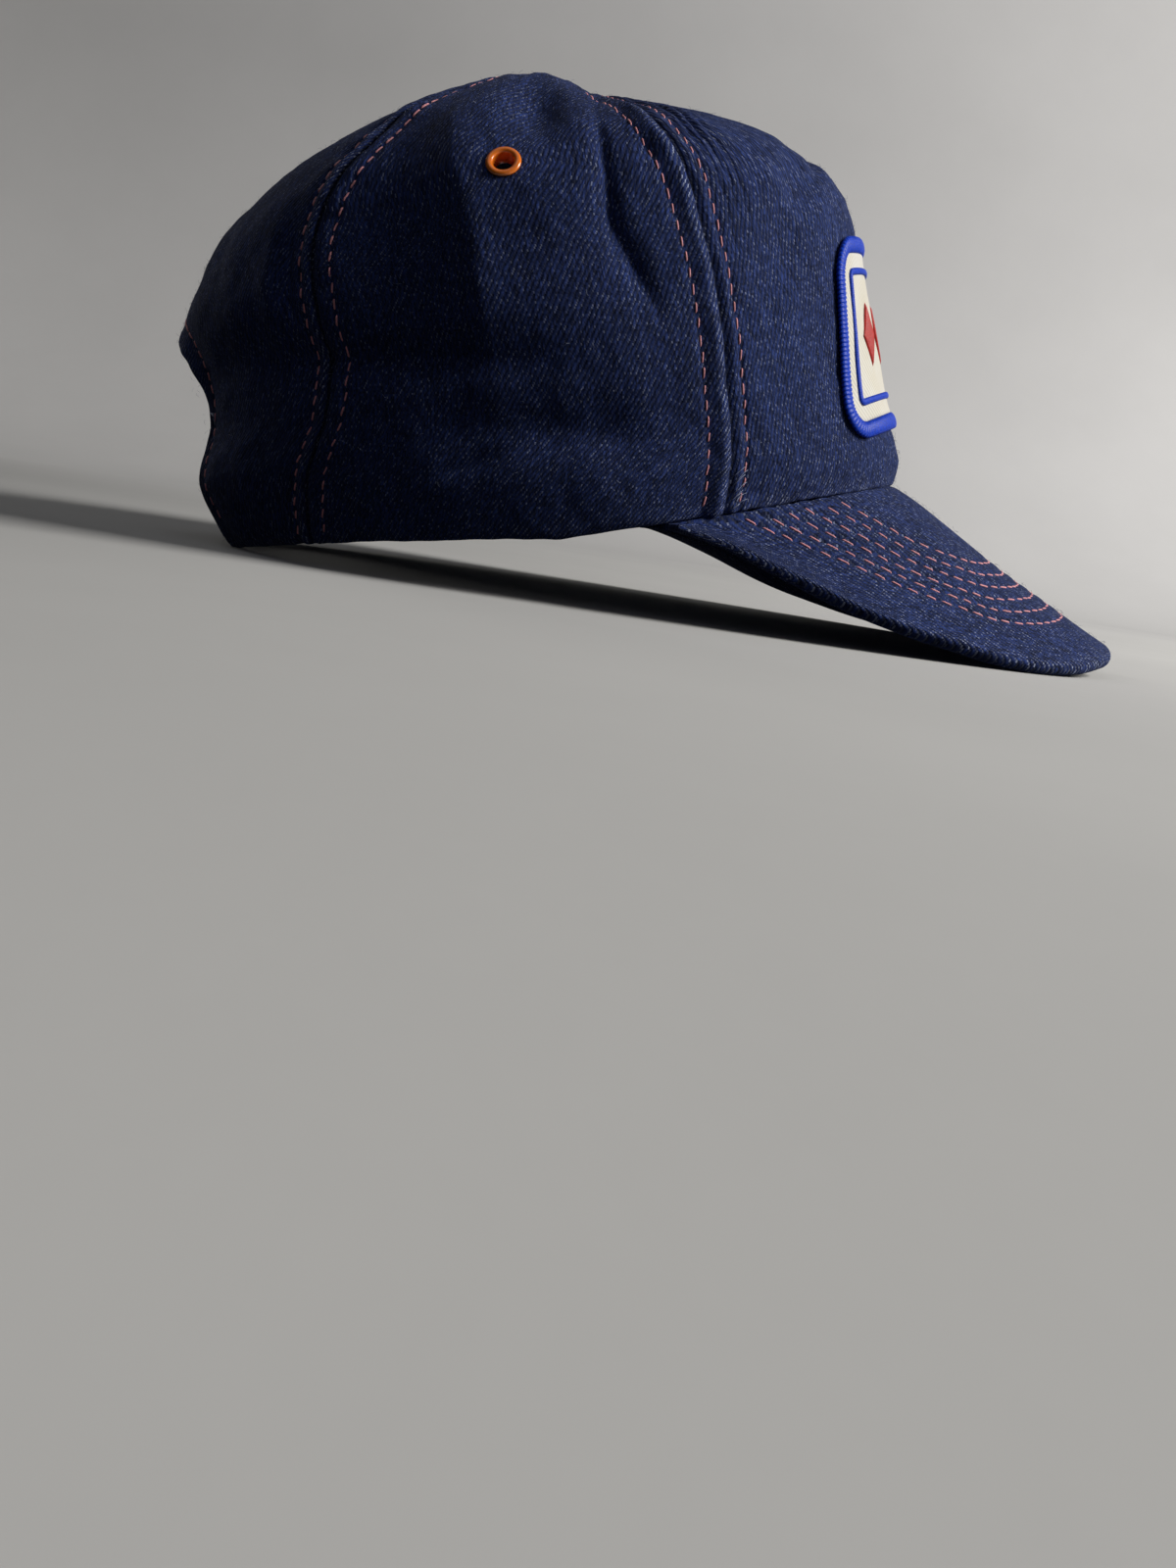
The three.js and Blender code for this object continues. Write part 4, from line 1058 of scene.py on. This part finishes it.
class CAP_OT_visor(bpy.types.Operator):
    """Cover the visor with denim"""

    bl_idname = "cap.visor"
    bl_label = "Visor"

    def execute(self, context):
        columns, rows = GRID["visor"]
        across = np.sin(np.linspace(-np.pi / 2, np.pi / 2, columns))[:, None]
        length = np.linalg.norm(visor_surface(across, 1.0) - visor_surface(across, 0.0), axis=-1)
        out = edge_crowd(rows)[None] * (1 + VISOR_EDGE_ROUND / length)
        points, _ = visor_cloth(across, out)
        across, out = np.broadcast_arrays(across, out)
        thickness = visor_thickness(across)
        reach = np.where(out < 0.5, VISOR_ROOT_ROUND, thickness / 2)
        vertices, outer, inner, place = shell(points, thickness, reach)
        step = np.linalg.norm(np.diff(points[..., 1:], axis=0), axis=-1)
        spread = np.concatenate([np.zeros((1, points.shape[1])), np.cumsum(step, axis=0)])
        spread = spread - spread[len(spread) // 2]
        uv = turn_uv(np.stack([points[..., 0], spread], -1), GRAIN["visor"]).reshape(-1, 2)[place]
        along = lengths_along(points, 1)
        wear_and_shade = (0.12 + 0.6 * bell(along[:, -1:] - along, 0.5, 2.5)).ravel()[place]
        faces = skin_faces(outer, inner)
        vertices[:, 2] = np.maximum(vertices[:, 2], self.table_height(vertices))
        piece = make_mesh("visor_cloth", vertices, faces, denim_pair()[:1], None, uv, wear_and_shade)
        finish_piece(piece, "denim", "visor")
        return {"FINISHED"}

    def table_height(self, vertices):
        """Height of the table in the cap frame under each vertex."""
        return -(vertices[:, 0] * math.sin(TILT) + REST_UP) / math.cos(TILT)


class CAP_OT_stitches(bpy.types.Operator):
    """Topstitch the seams, the half-moon and the visor"""

    bl_idname = "cap.stitches"
    bl_label = "Topstitching"

    def execute(self, context):
        sizes, colours = context.scene.cap_sizes, context.scene.cap_colours
        pitch, thread = sizes.seam_pitch / MM, sizes.thread / MM
        material = spun_thread("polyester_topstitch", colours.thread, 0.55)
        paths = []
        level = np.linspace(*STITCHED_LEVELS, 400)
        for side in (1, -1):
            for name, (ahead, behind) in STITCH_ROWS.items():
                away = (-ahead,) if name == "centre" else (-ahead, behind)
                paths += [self.beside_seam(name, side, distance, level) for distance in away]
        paths.append(self.round_arch())
        rows = []
        for seed, (azimuth, path_level) in enumerate(paths):
            points, normals = cloth_point(azimuth, path_level), crown_normal(azimuth, path_level)
            rows.append(sewn_row(points, normals, pitch, STITCH_SHARE["crown"] * pitch, thread, seed))
        finish_piece(make_mesh("crown_topstitch", *join_rows(rows), [material]), None)
        rows = []
        pitch = sizes.visor_pitch / MM
        for index in range(VISOR_ROWS):
            end = mix(*VISOR_ROW_END, index / (VISOR_ROWS - 1)) * 0.985
            across = np.linspace(-end, end, 500)
            points, normals = visor_cloth(across, visor_row(index, across))
            length = STITCH_SHARE["visor"] * pitch
            rows.append(sewn_row(points, normals, pitch, length, thread, 100 + index))
        finish_piece(make_mesh("visor_topstitch", *join_rows(rows), [material]), None)
        return {"FINISHED"}

    def beside_seam(self, name, side, distance, level):
        """Azimuths and levels of a row at a distance behind a seam, along the level lines."""
        if name == "centre":
            level = level[level > ARCH_TOP_LEVEL + 0.75]
            seam = np.full(level.shape, CENTRE_BACK)
        else:
            seam = seam_azimuth(name, level)
        run = np.linalg.norm(steps_along(side * seam, level)[0], axis=-1)
        return side * (seam + distance / run), level

    def round_arch(self):
        """Azimuths and levels of the row along the half-moon's hem."""
        turn = np.linspace(0.03, np.pi - 0.03, 300)
        wide = ARCH_HALF_AZIMUTH + ARCH_HEM / AZIMUTH_RUN
        azimuth = CENTRE_BACK - wide * np.sign(np.cos(turn)) * np.abs(np.cos(turn)) ** (2 / ARCH_SQUARE)
        azimuth = np.where(azimuth > CENTRE_BACK, azimuth - 360, azimuth)
        return azimuth, (ARCH_TOP_LEVEL + ARCH_HEM / LEVEL_RISE) * np.sin(turn) ** (2 / ARCH_SQUARE)


class CAP_OT_fibres(bpy.types.Operator):
    """Raise loose fibres on the cloth, and frayed yarn ends at a seam"""

    bl_idname = "cap.fibres"
    bl_label = "Loose fibres"

    def execute(self, context):
        rng = np.random.default_rng(41)
        colours = context.scene.cap_colours
        dark = self.cotton("cotton_fibre_indigo", colours.faded)
        pale = self.cotton("cotton_fibre_white", colours.weft)
        roots, normals = self.scatter(rng)
        count = len(roots)
        length = rng.uniform(*FIBRE_LENGTH, count)
        lean = unit(np.cross(normals, rng.normal(size=(count, 3))))
        middle = roots + normals * (0.32 * length)[:, None] + lean * (0.3 * length)[:, None]
        bend = unit(lean + 0.7 * np.cross(normals, lean) * rng.choice((-1, 1), count)[:, None])
        tip = middle + normals * (0.12 * length)[:, None] + bend * (0.45 * length)[:, None]
        vertices, faces = self.strands(np.stack([roots, middle, tip], 1), FIBRE_THICK)
        white = rng.random(count) < FIBRE_WHITE
        face_material = np.repeat(white, len(faces) // count)
        piece = make_mesh("loose_fibres", vertices, faces, [dark, pale], face_material)
        finish_piece(piece, None)
        vertices, faces = self.strands(self.frayed(rng), FRAY_THICK)
        finish_piece(make_mesh("frayed_yarns", vertices, faces, [pale]), None)
        return {"FINISHED"}

    def cotton(self, name, colour):
        """Dull cotton fibre, a little uneven along its length."""
        material, t, shader = new_material(name)
        place = add(t, "ShaderNodeTexCoord").outputs["Object"]
        # Dye is uneven over about 0.5 mm
        uneven = add(t, "ShaderNodeTexNoise", {"Vector": place, "Scale": 1 / (0.5 * MM), "Detail": 2.0})
        dull = rgba(tuple(0.6 * c for c in colour))
        mixed = add(t, "ShaderNodeMix", {0: uneven, 6: dull, 7: rgba(colour)}, data_type="RGBA")
        feed(t, shader, {"Base Color": mixed.outputs[2], "Roughness": 0.9})
        return material

    def scatter(self, rng):
        """Random places on the crown and the visor, with their normals."""
        crown = FIBRES * 4 // 5
        azimuth = rng.uniform(-180, 180, crown)
        low = low_level(azimuth)
        # Level lines get shorter towards the button, so fewer places are drawn there
        level = low + (TOP_LEVEL - low) * (1 - np.sqrt(rng.uniform(0, 1, crown)) * 0.98)
        across, out = rng.uniform(-0.97, 0.97, FIBRES - crown), rng.uniform(0.04, 1.0, FIBRES - crown)
        visor, visor_normals = visor_cloth(across, out)
        points = np.concatenate([cloth_point(azimuth, level, -0.05), visor])
        return points, np.concatenate([crown_normal(azimuth, level), visor_normals])

    def frayed(self, rng):
        """Paths of yarn ends that lie on the front panel at the foot of the right front seam."""
        start_level = rng.uniform(0.1, 0.75, FRAY_YARNS)
        seam = seam_azimuth("front", start_level)
        start = seam - rng.uniform(0.2, 1.6, FRAY_YARNS)
        reach = rng.uniform(0.6, 1.2, FRAY_YARNS)
        path = []
        for share, lift in ((0.0, 0.05), (0.35, 0.3), (0.7, 0.4), (1.0, 0.75)):
            azimuth = start - 2.4 * reach * share
            level = start_level + 0.24 * reach * share * (1.1 - 0.3 * share)
            path.append(cloth_point(-azimuth, level, lift))
        return np.stack(path, 1)

    def strands(self, paths, thick):
        """Three-sided strands along paths of a few points each, closed at both ends."""
        count, rings = paths.shape[:2]
        forward = unit(np.gradient(paths, axis=1))
        side = unit(np.cross(forward, (0.31, 0.53, 0.79)))
        other = np.cross(forward, side)
        turn = np.linspace(0, 2 * np.pi, 3, endpoint=False)
        ring = np.cos(turn)[:, None] * side[:, :, None] + np.sin(turn)[:, None] * other[:, :, None]
        vertices = paths[:, :, None] + ring * thick / 2
        index = np.arange(count * rings * 3).reshape(count, rings, 3)
        a, b = index[:, :-1], index[:, 1:]
        sides = [np.stack([a[..., k], a[..., (k + 1) % 3], b[..., (k + 1) % 3]], -1) for k in range(3)]
        sides += [np.stack([a[..., k], b[..., (k + 1) % 3], b[..., k]], -1) for k in range(3)]
        walls = np.stack(sides, 1).reshape(count, -1, 3)
        faces = np.concatenate([walls, index[:, :1, ::-1], index[:, -1:]], 1)
        return vertices.reshape(-1, 3), faces.reshape(-1, 3)


class CAP_OT_patch(bpy.types.Operator):
    """Lay the front patch with its bound edge and diamonds"""

    bl_idname = "cap.patch"
    bl_label = "Patch"

    def place(self, across, up, lift):
        """Point over the front panel, at cloth lengths from the patch's middle."""
        sag = PATCH_DROOP * (across / PATCH_HALF[0]) ** 2
        return crown_point(across / AZIMUTH_RUN, PATCH_LEVEL + (up - sag) / FRONT_RISE, lift)

    def execute(self, context):
        colours = context.scene.cap_colours
        self.make_field()
        self.make_border(context.scene.cap_sizes.wrap_pitch / MM, colours)
        self.make_diamonds(spun_thread("rayon_red_satin", colours.diamonds, 0.38))
        return {"FINISHED"}

    def make_field(self):
        """White field: a thin plate with round corners that follows the panel."""
        inset = BORDER_WIDTH / 2 + BORDER_CLEAR - 0.8
        half_width, half_height, corner = PATCH_HALF[0] - inset, PATCH_HALF[1] - inset, PATCH_CORNER - inset
        across = half_width * np.sin(np.linspace(-np.pi / 2, np.pi / 2, 140))[None]
        past = np.maximum(np.abs(across) - (half_width - corner), 0)
        reach = half_height - corner + np.sqrt(np.maximum(corner ** 2 - past ** 2, 0))
        up = reach * np.linspace(-1, 1, 70)[:, None]
        across = np.broadcast_to(across, up.shape)
        slack = 0.15 * ripple(across, up, 16.0, 23)
        points = self.place(across, up, PATCH_LIFT + PATCH_THICK + slack)
        vertices, outer, inner, place = shell(points, PATCH_THICK)
        uv = np.stack([across, up], -1).reshape(-1, 2)[place]
        faces = skin_faces(outer, inner)
        piece = make_mesh("patch_field_twill", vertices, faces, [patch_twill()], None, uv)
        finish_piece(piece, "patch_twill", "patch_field")

    def outline(self, share, inset):
        """Rounded rectangle at shares of its way round, as four sides and four arcs.

        Gives the places, their outward directions and the length of the way round.
        """
        half = np.array(PATCH_HALF) - inset
        corner = max(PATCH_CORNER - inset, 1.5)
        w, h = half - corner
        arc = corner * np.pi / 2
        spans = np.array([2 * h, arc, 2 * w, arc] * 2)
        ends = np.cumsum(spans)
        s = (share % 1.0) * ends[-1]
        k = np.minimum(np.searchsorted(ends, s, side="right"), 7)
        t = (s - (ends - spans)[k]) / spans[k]
        quarter = (k // 2) * np.pi / 2
        is_arc = k % 2 == 1
        turn = quarter + np.where(is_arc, t, 0) * np.pi / 2
        out = np.stack([np.cos(turn), np.sin(turn)], -1)
        centres = np.array([[w, h], [-w, h], [-w, -h], [w, -h]])
        starts = np.array([[half[0], -h], [w, half[1]], [-half[0], h], [-w, -half[1]]])
        heading = np.stack([-np.sin(quarter), np.cos(quarter)], -1)
        on_side = starts[k // 2] + heading * (t * spans[k])[:, None]
        on_arc = centres[k // 2] + corner * out
        return np.where(is_arc[:, None], on_arc, on_side), out, ends[-1]

    def wrapped_line(self, inset, width, thick, base, pitch, slant, samples, sides):
        """Thread wrapped round a closed line: an oval carried round the outline, a bulge for each wrap.

        The bulges are arches between sharp furrows, and lean by a slant from the inner to the outer side.
        """
        wraps = round(self.outline(np.zeros(1), inset)[2] / pitch)
        share = np.arange(wraps * samples) / (wraps * samples)
        flat, out, _ = self.outline(share, inset)
        turn = np.linspace(0, 2 * np.pi, sides, endpoint=False)
        phase = np.pi * share[:, None] * wraps + slant * np.cos(turn)
        swell = 0.86 + 0.2 * np.abs(np.sin(phase))
        sideways = width / 2 * np.cos(turn) * swell
        lift = base + thick / 2 * (1 + np.sin(turn) * swell)
        across = flat[:, :1] + out[:, :1] * sideways
        up = flat[:, 1:] + out[:, 1:] * sideways
        vertices = self.place(across, up, lift)
        index = np.arange(vertices[..., 0].size).reshape(vertices.shape[:2])
        faces = grid_faces(index, loop_rows=True, loop_columns=True)
        return vertices.reshape(-1, 3), faces[:, ::-1]

    def make_border(self, pitch, colours):
        """Overlocked edge of the patch, and the satin frame line inside it."""
        overlock = spun_thread("rayon_overlock", colours.border, 0.4)
        line = self.wrapped_line(0.0, BORDER_WIDTH, BORDER_THICK, PATCH_LIFT, pitch, 0.9, 8, 16)
        finish_piece(make_mesh("patch_border_wraps", *line, [overlock]), "border_thread", "patch_border")
        base = PATCH_LIFT + PATCH_THICK - SATIN_RISE / 2
        line = self.wrapped_line(FRAME_INSET, FRAME_WIDTH, 2 * SATIN_RISE, base, 0.55, 0.2, 4, 8)
        finish_piece(make_mesh("patch_frame_satin", *line, [overlock]), "border_thread")

    def make_diamonds(self, material):
        """Row of satin-stitched diamonds: low pillows with a rib for each upright thread."""
        rib = 0.5
        half_width, half_height = DIAMOND_HALF
        parts = []
        for middle in (np.arange(DIAMONDS) - (DIAMONDS - 1) / 2) * DIAMOND_STEP:
            along = np.linspace(-half_width, half_width, 121)[None]
            share = np.linspace(-1, 1, 13)[:, None]
            thread = np.cos(2 * np.pi * along / rib)
            up = share * (half_height * (1 - np.abs(along) / half_width) + 0.25 + 0.08 * thread)
            along = np.broadcast_to(along, up.shape)
            rise = SATIN_RISE * np.sqrt(np.maximum(1 - share ** 4, 0)) * (0.8 + 0.2 * thread)
            points = self.place(middle + along, up, PATCH_LIFT + PATCH_THICK + 0.15 + rise)
            vertices, outer, inner, _ = shell(points, 0.4)
            parts.append((vertices, skin_faces(outer, inner)))
        finish_piece(make_mesh("patch_diamonds_satin", *joined(parts), [material]), "border_thread")


class CAP_OT_eyelets(bpy.types.Operator):
    """Set the enamelled eyelets"""

    bl_idname = "cap.eyelets"
    bl_label = "Eyelets"

    def execute(self, context):
        material = eyelet_enamel()
        cloth = context.scene.cap_sizes.cloth / MM
        for word, side in (("left", 1), ("right", -1)):
            at = np.array(side * EYELET_AZIMUTH), np.array(EYELET_LEVEL)
            place = cloth_point(*at)
            along = crown_point(at[0] + 2, at[1]) - crown_point(at[0] - 2, at[1])
            up = crown_point(at[0], at[1] + 0.2) - crown_point(at[0], at[1] - 0.2)
            vertices, faces = lathe(self.profile(cloth), 64, place, np.cross(along, up))
            piece = make_mesh(f"eyelet_{word}_enamel", vertices, faces[:, ::-1], [material])
            finish_piece(piece, "eyelet_enamel", f"eyelet_{word}")
        return {"FINISHED"}

    def profile(self, cloth):
        """Section of an eyelet: half oval flange outside, barrel through the cloth, collar inside."""
        e = EYELET
        turn = np.linspace(0, np.pi, 15)
        middle, half = (e["flange"] + e["hole"]) / 2, (e["flange"] - e["hole"]) / 2
        roll = np.stack([middle + half * np.cos(turn), 0.1 + e["lip"] * np.sin(turn) ** 0.8], -1)
        below = -cloth - 0.4
        barrel = [(e["hole"], below * 0.5), (e["hole"], below - e["lip"] * 0.5)]
        collar = [(e["hole"] + 0.5, below - e["lip"]), (e["collar"] - 0.5, below - e["lip"])]
        back = [(e["collar"], below - e["lip"] * 0.6), (e["collar"], below), (e["barrel"], below)]
        return np.concatenate([roll, barrel, collar, back, [(e["barrel"], 0.0), (e["flange"] - 0.3, 0.0)]])


class CAP_OT_strap(bpy.types.Operator):
    """Mould the snap strap across the half-moon"""

    bl_idname = "cap.strap"
    bl_label = "Snap strap"

    def execute(self, context):
        cloth = context.scene.cap_sizes.cloth / MM
        depth = cloth + STRAP["clear"]
        turn = np.linspace(-1, 1, 220)[None]
        # Round ends: the band narrows on a superellipse in its last tenth
        end = np.clip((np.abs(turn) - 0.88) / 0.12, 0, 1)
        half = STRAP["height"] / 2 * (1 - end ** 3) ** 0.5 * 0.999 + 0.02
        up = STRAP["height"] / 2 + half * edge_crowd(36)[:, None] * 2 - half
        turn = np.broadcast_to(turn, up.shape)
        azimuth = CENTRE_BACK + STRAP["half_azimuth"] * turn
        azimuth = np.where(azimuth > CENTRE_BACK, azimuth - 360, azimuth)
        level = (STRAP["lift"] + up) / LEVEL_RISE
        rim = np.abs(np.abs(up - STRAP["height"] / 2) - half)
        sunk = 0.35 * np.clip((rim - 1.2) / 0.5, 0, 1)
        points = crown_inside(azimuth, level, depth) - crown_normal(azimuth, level) * sunk[..., None]
        vertices, outer, inner, _ = shell(points, STRAP["thick"] - 0.35)
        parts = [(vertices, skin_faces(outer, inner))]
        for k in range(STUDS["count"]):
            parts.append(self.stud((k - (STUDS["count"] - 1) / 2) * STUDS["pitch"], depth))
        piece = make_mesh("snap_strap_moulding", *joined(parts), [strap_plastic()])
        finish_piece(piece, "strap_plastic", "snap_strap")
        return {"FINISHED"}

    def stud(self, along, depth):
        """One stud: a waisted post with a round head, standing on the band's middle."""
        azimuth = CENTRE_BACK - abs(along) / AZIMUTH_RUN
        azimuth = np.array(-azimuth if along < 0 else azimuth)
        level = np.array((STRAP["lift"] + STRAP["height"] / 2) / LEVEL_RISE)
        r, rise = STUDS["radius"], STUDS["rise"]
        turn = np.linspace(0, np.pi / 2, 8)
        dome = np.stack([r * np.cos(turn) + 0.001, 0.5 * rise + 0.5 * rise * np.sin(turn)], -1)
        profile = np.concatenate([[(0.001, -0.8), (0.8 * r, -0.8), (0.78 * r, 0.1 * rise)], dome])
        place = crown_inside(azimuth, level, depth)
        return lathe(profile, 24, place, crown_normal(azimuth, level))


class CAP_OT_button(bpy.types.Operator):
    """Cover the top button with denim"""

    bl_idname = "cap.button"
    bl_label = "Top button"

    def execute(self, context):
        turns = np.arange(-180.0, 180.0, 15.0)
        axis = unit(crown_normal(turns, TOP_LEVEL).sum(0))
        middle = crown_point(turns, TOP_LEVEL).mean(0)
        rises = [(crown_point(turns, TOP_LEVEL - drop) - middle) @ axis for drop in (0, 0.1, 0.2)]
        seat = middle + axis * (np.max(rises) + 0.3)
        turn = np.linspace(0, np.pi / 2, 22)
        radius, edge, height = BUTTON["radius"], BUTTON["edge"], BUTTON["height"]
        dome = np.stack([radius * np.cos(turn) + 0.01, edge + (height - edge) * np.sin(turn)], -1)
        foot = [(0.01, -0.4), (0.7 * radius, -0.4)]
        foot += [(0.93 * radius, 0.2 * edge), (0.985 * radius, 0.6 * edge)]
        vertices, faces = lathe(np.concatenate([foot, dome]), 96, seat, axis)
        local = vertices - seat
        around = np.arctan2(local[:, 1], local[:, 0])
        out = np.linalg.norm(local - np.outer(local @ axis, axis), axis=1) / radius
        vertices = vertices + np.outer(0.1 * out ** 3 * np.cos(11 * around), axis)
        wear_and_shade = 0.6 * out ** 4
        piece = make_mesh("top_button_cloth", vertices, faces, denim_pair()[:1], None, local[:, :2], wear_and_shade)
        finish_piece(piece, "denim", "top_button")
        return {"FINISHED"}


class CAP_OT_stage(bpy.types.Operator):
    """Set the floor, the lights and the photograph's camera"""

    bl_idname = "cap.stage"
    bl_label = "Stage"

    def execute(self, context):
        self.make_floor()
        self.make_lights()
        pitch = math.radians(CAMERA_PITCH)
        right = turned((1, 0, 0))
        up = turned((0, math.sin(pitch), math.cos(pitch)))
        back = turned((0, -math.cos(pitch), math.sin(pitch)))
        data = bpy.data.cameras.new("camera")
        data.sensor_width = SENSOR
        data.lens = CAMERA_FOCAL * SENSOR / PHOTO_HEIGHT
        data.clip_start = 0.005
        camera = bpy.data.objects.new("camera", data)
        turn = Matrix((right, up, back)).transposed().to_4x4()
        camera.matrix_world = Matrix.Translation(Vector(rest(np.array(CAMERA_PLACE)))) @ turn
        context.scene.collection.objects.link(camera)
        context.scene.camera = camera
        return {"FINISHED"}

    def make_floor(self):
        """Pale floor that bends up into a backdrop on a quarter circle, 0.9 m behind the cap."""
        wall, radius, width = 1.3, 0.5, 4.0
        turn = np.linspace(0, np.pi / 2, 24)
        bend = np.stack([wall - radius + radius * np.sin(turn), radius - radius * np.cos(turn)], -1)
        section = np.concatenate([[(-3.0, 0.0)], bend, [(wall, 3.0)]])
        across = np.linspace(-width, width, 9)
        y, x = np.meshgrid(section[:, 0], across, indexing="ij")
        z = np.broadcast_to(section[:, 1:], y.shape)
        vertices = np.stack([x, y, z], -1).reshape(-1, 3)
        index = np.arange(len(vertices)).reshape(y.shape)
        mesh = bpy.data.meshes.new("floor")
        mesh.from_pydata(vertices, [], grid_faces(index).tolist())
        mesh.polygons.foreach_set("use_smooth", np.ones(len(mesh.polygons), bool))
        mesh.materials.append(stage_plaster())
        floor = bpy.data.objects.new("floor", mesh)
        bpy.context.scene.collection.objects.link(floor)
        # The floor throws no diffuse light up at the cap, so that its folds keep their shade
        floor.visible_diffuse = False

    def make_lights(self):
        """Window light from the right, weak lights from the other sides and a faint surround."""
        lamps = (
            ("key", (1.72, -0.34, 1.15), 0.9, 48.0, "#fffdfa"),
            ("overhead", (-0.35, -0.25, 1.7), 1.2, 1.8, "#f2f5ff"),
            ("fill", (0.45, -1.4, 0.6), 1.4, 1.1, "#e6ecff"),
            ("far", (-1.1, 1.15, 0.7), 0.9, 5.0, "#f4f2ee"),
        )
        target = Vector((0.0, 0.0, 0.06))
        for name, place, size, energy, colour in lamps:
            data = bpy.data.lights.new(name, "AREA")
            data.size = size
            data.energy = energy
            data.color = hex_colour(colour)
            lamp = bpy.data.objects.new(name, data)
            lamp.location = place
            lamp.rotation_euler = (target - Vector(place)).to_track_quat("-Z", "Y").to_euler()
            bpy.context.scene.collection.objects.link(lamp)
        world = bpy.data.worlds.new("surround")
        world.use_nodes = True
        surround = world.node_tree.nodes["Background"]
        surround.inputs[0].default_value = rgba(hex_colour("#dfe2e8"))
        surround.inputs[1].default_value = 0.014
        bpy.context.scene.world = world
        bpy.context.scene.view_settings.view_transform = "Standard"


class CAP_PT_panel(bpy.types.Panel):
    """Lists the cap's pieces, sizes and colours"""

    bl_idname = "CAP_PT_panel"
    bl_label = "Denim trucker cap"
    bl_space_type = "VIEW_3D"
    bl_region_type = "UI"
    bl_category = "Cap"

    def draw(self, context):
        for operator in OPERATORS:
            self.layout.operator(operator.bl_idname)
        for group in (context.scene.cap_sizes, context.scene.cap_colours):
            for name in group.__annotations__:
                self.layout.prop(group, name)


OPERATORS = (CAP_OT_panels, CAP_OT_visor, CAP_OT_stitches, CAP_OT_fibres, CAP_OT_patch, CAP_OT_eyelets,
             CAP_OT_strap, CAP_OT_button, CAP_OT_stage)
CLASSES = (CapSizes, CapColours, *OPERATORS, CAP_PT_panel)


def register():
    for cls in CLASSES:
        bpy.utils.register_class(cls)
    bpy.types.Scene.cap_sizes = bpy.props.PointerProperty(type=CapSizes)
    bpy.types.Scene.cap_colours = bpy.props.PointerProperty(type=CapColours)


def unregister():
    del bpy.types.Scene.cap_colours
    del bpy.types.Scene.cap_sizes
    for cls in reversed(CLASSES):
        bpy.utils.unregister_class(cls)


def main():
    register()
    bpy.ops.cap.panels()
    bpy.ops.cap.visor()
    bpy.ops.cap.stitches()
    bpy.ops.cap.fibres()
    bpy.ops.cap.patch()
    bpy.ops.cap.eyelets()
    bpy.ops.cap.strap()
    bpy.ops.cap.button()
    bpy.ops.cap.stage()


if __name__ == "__main__":
    main()
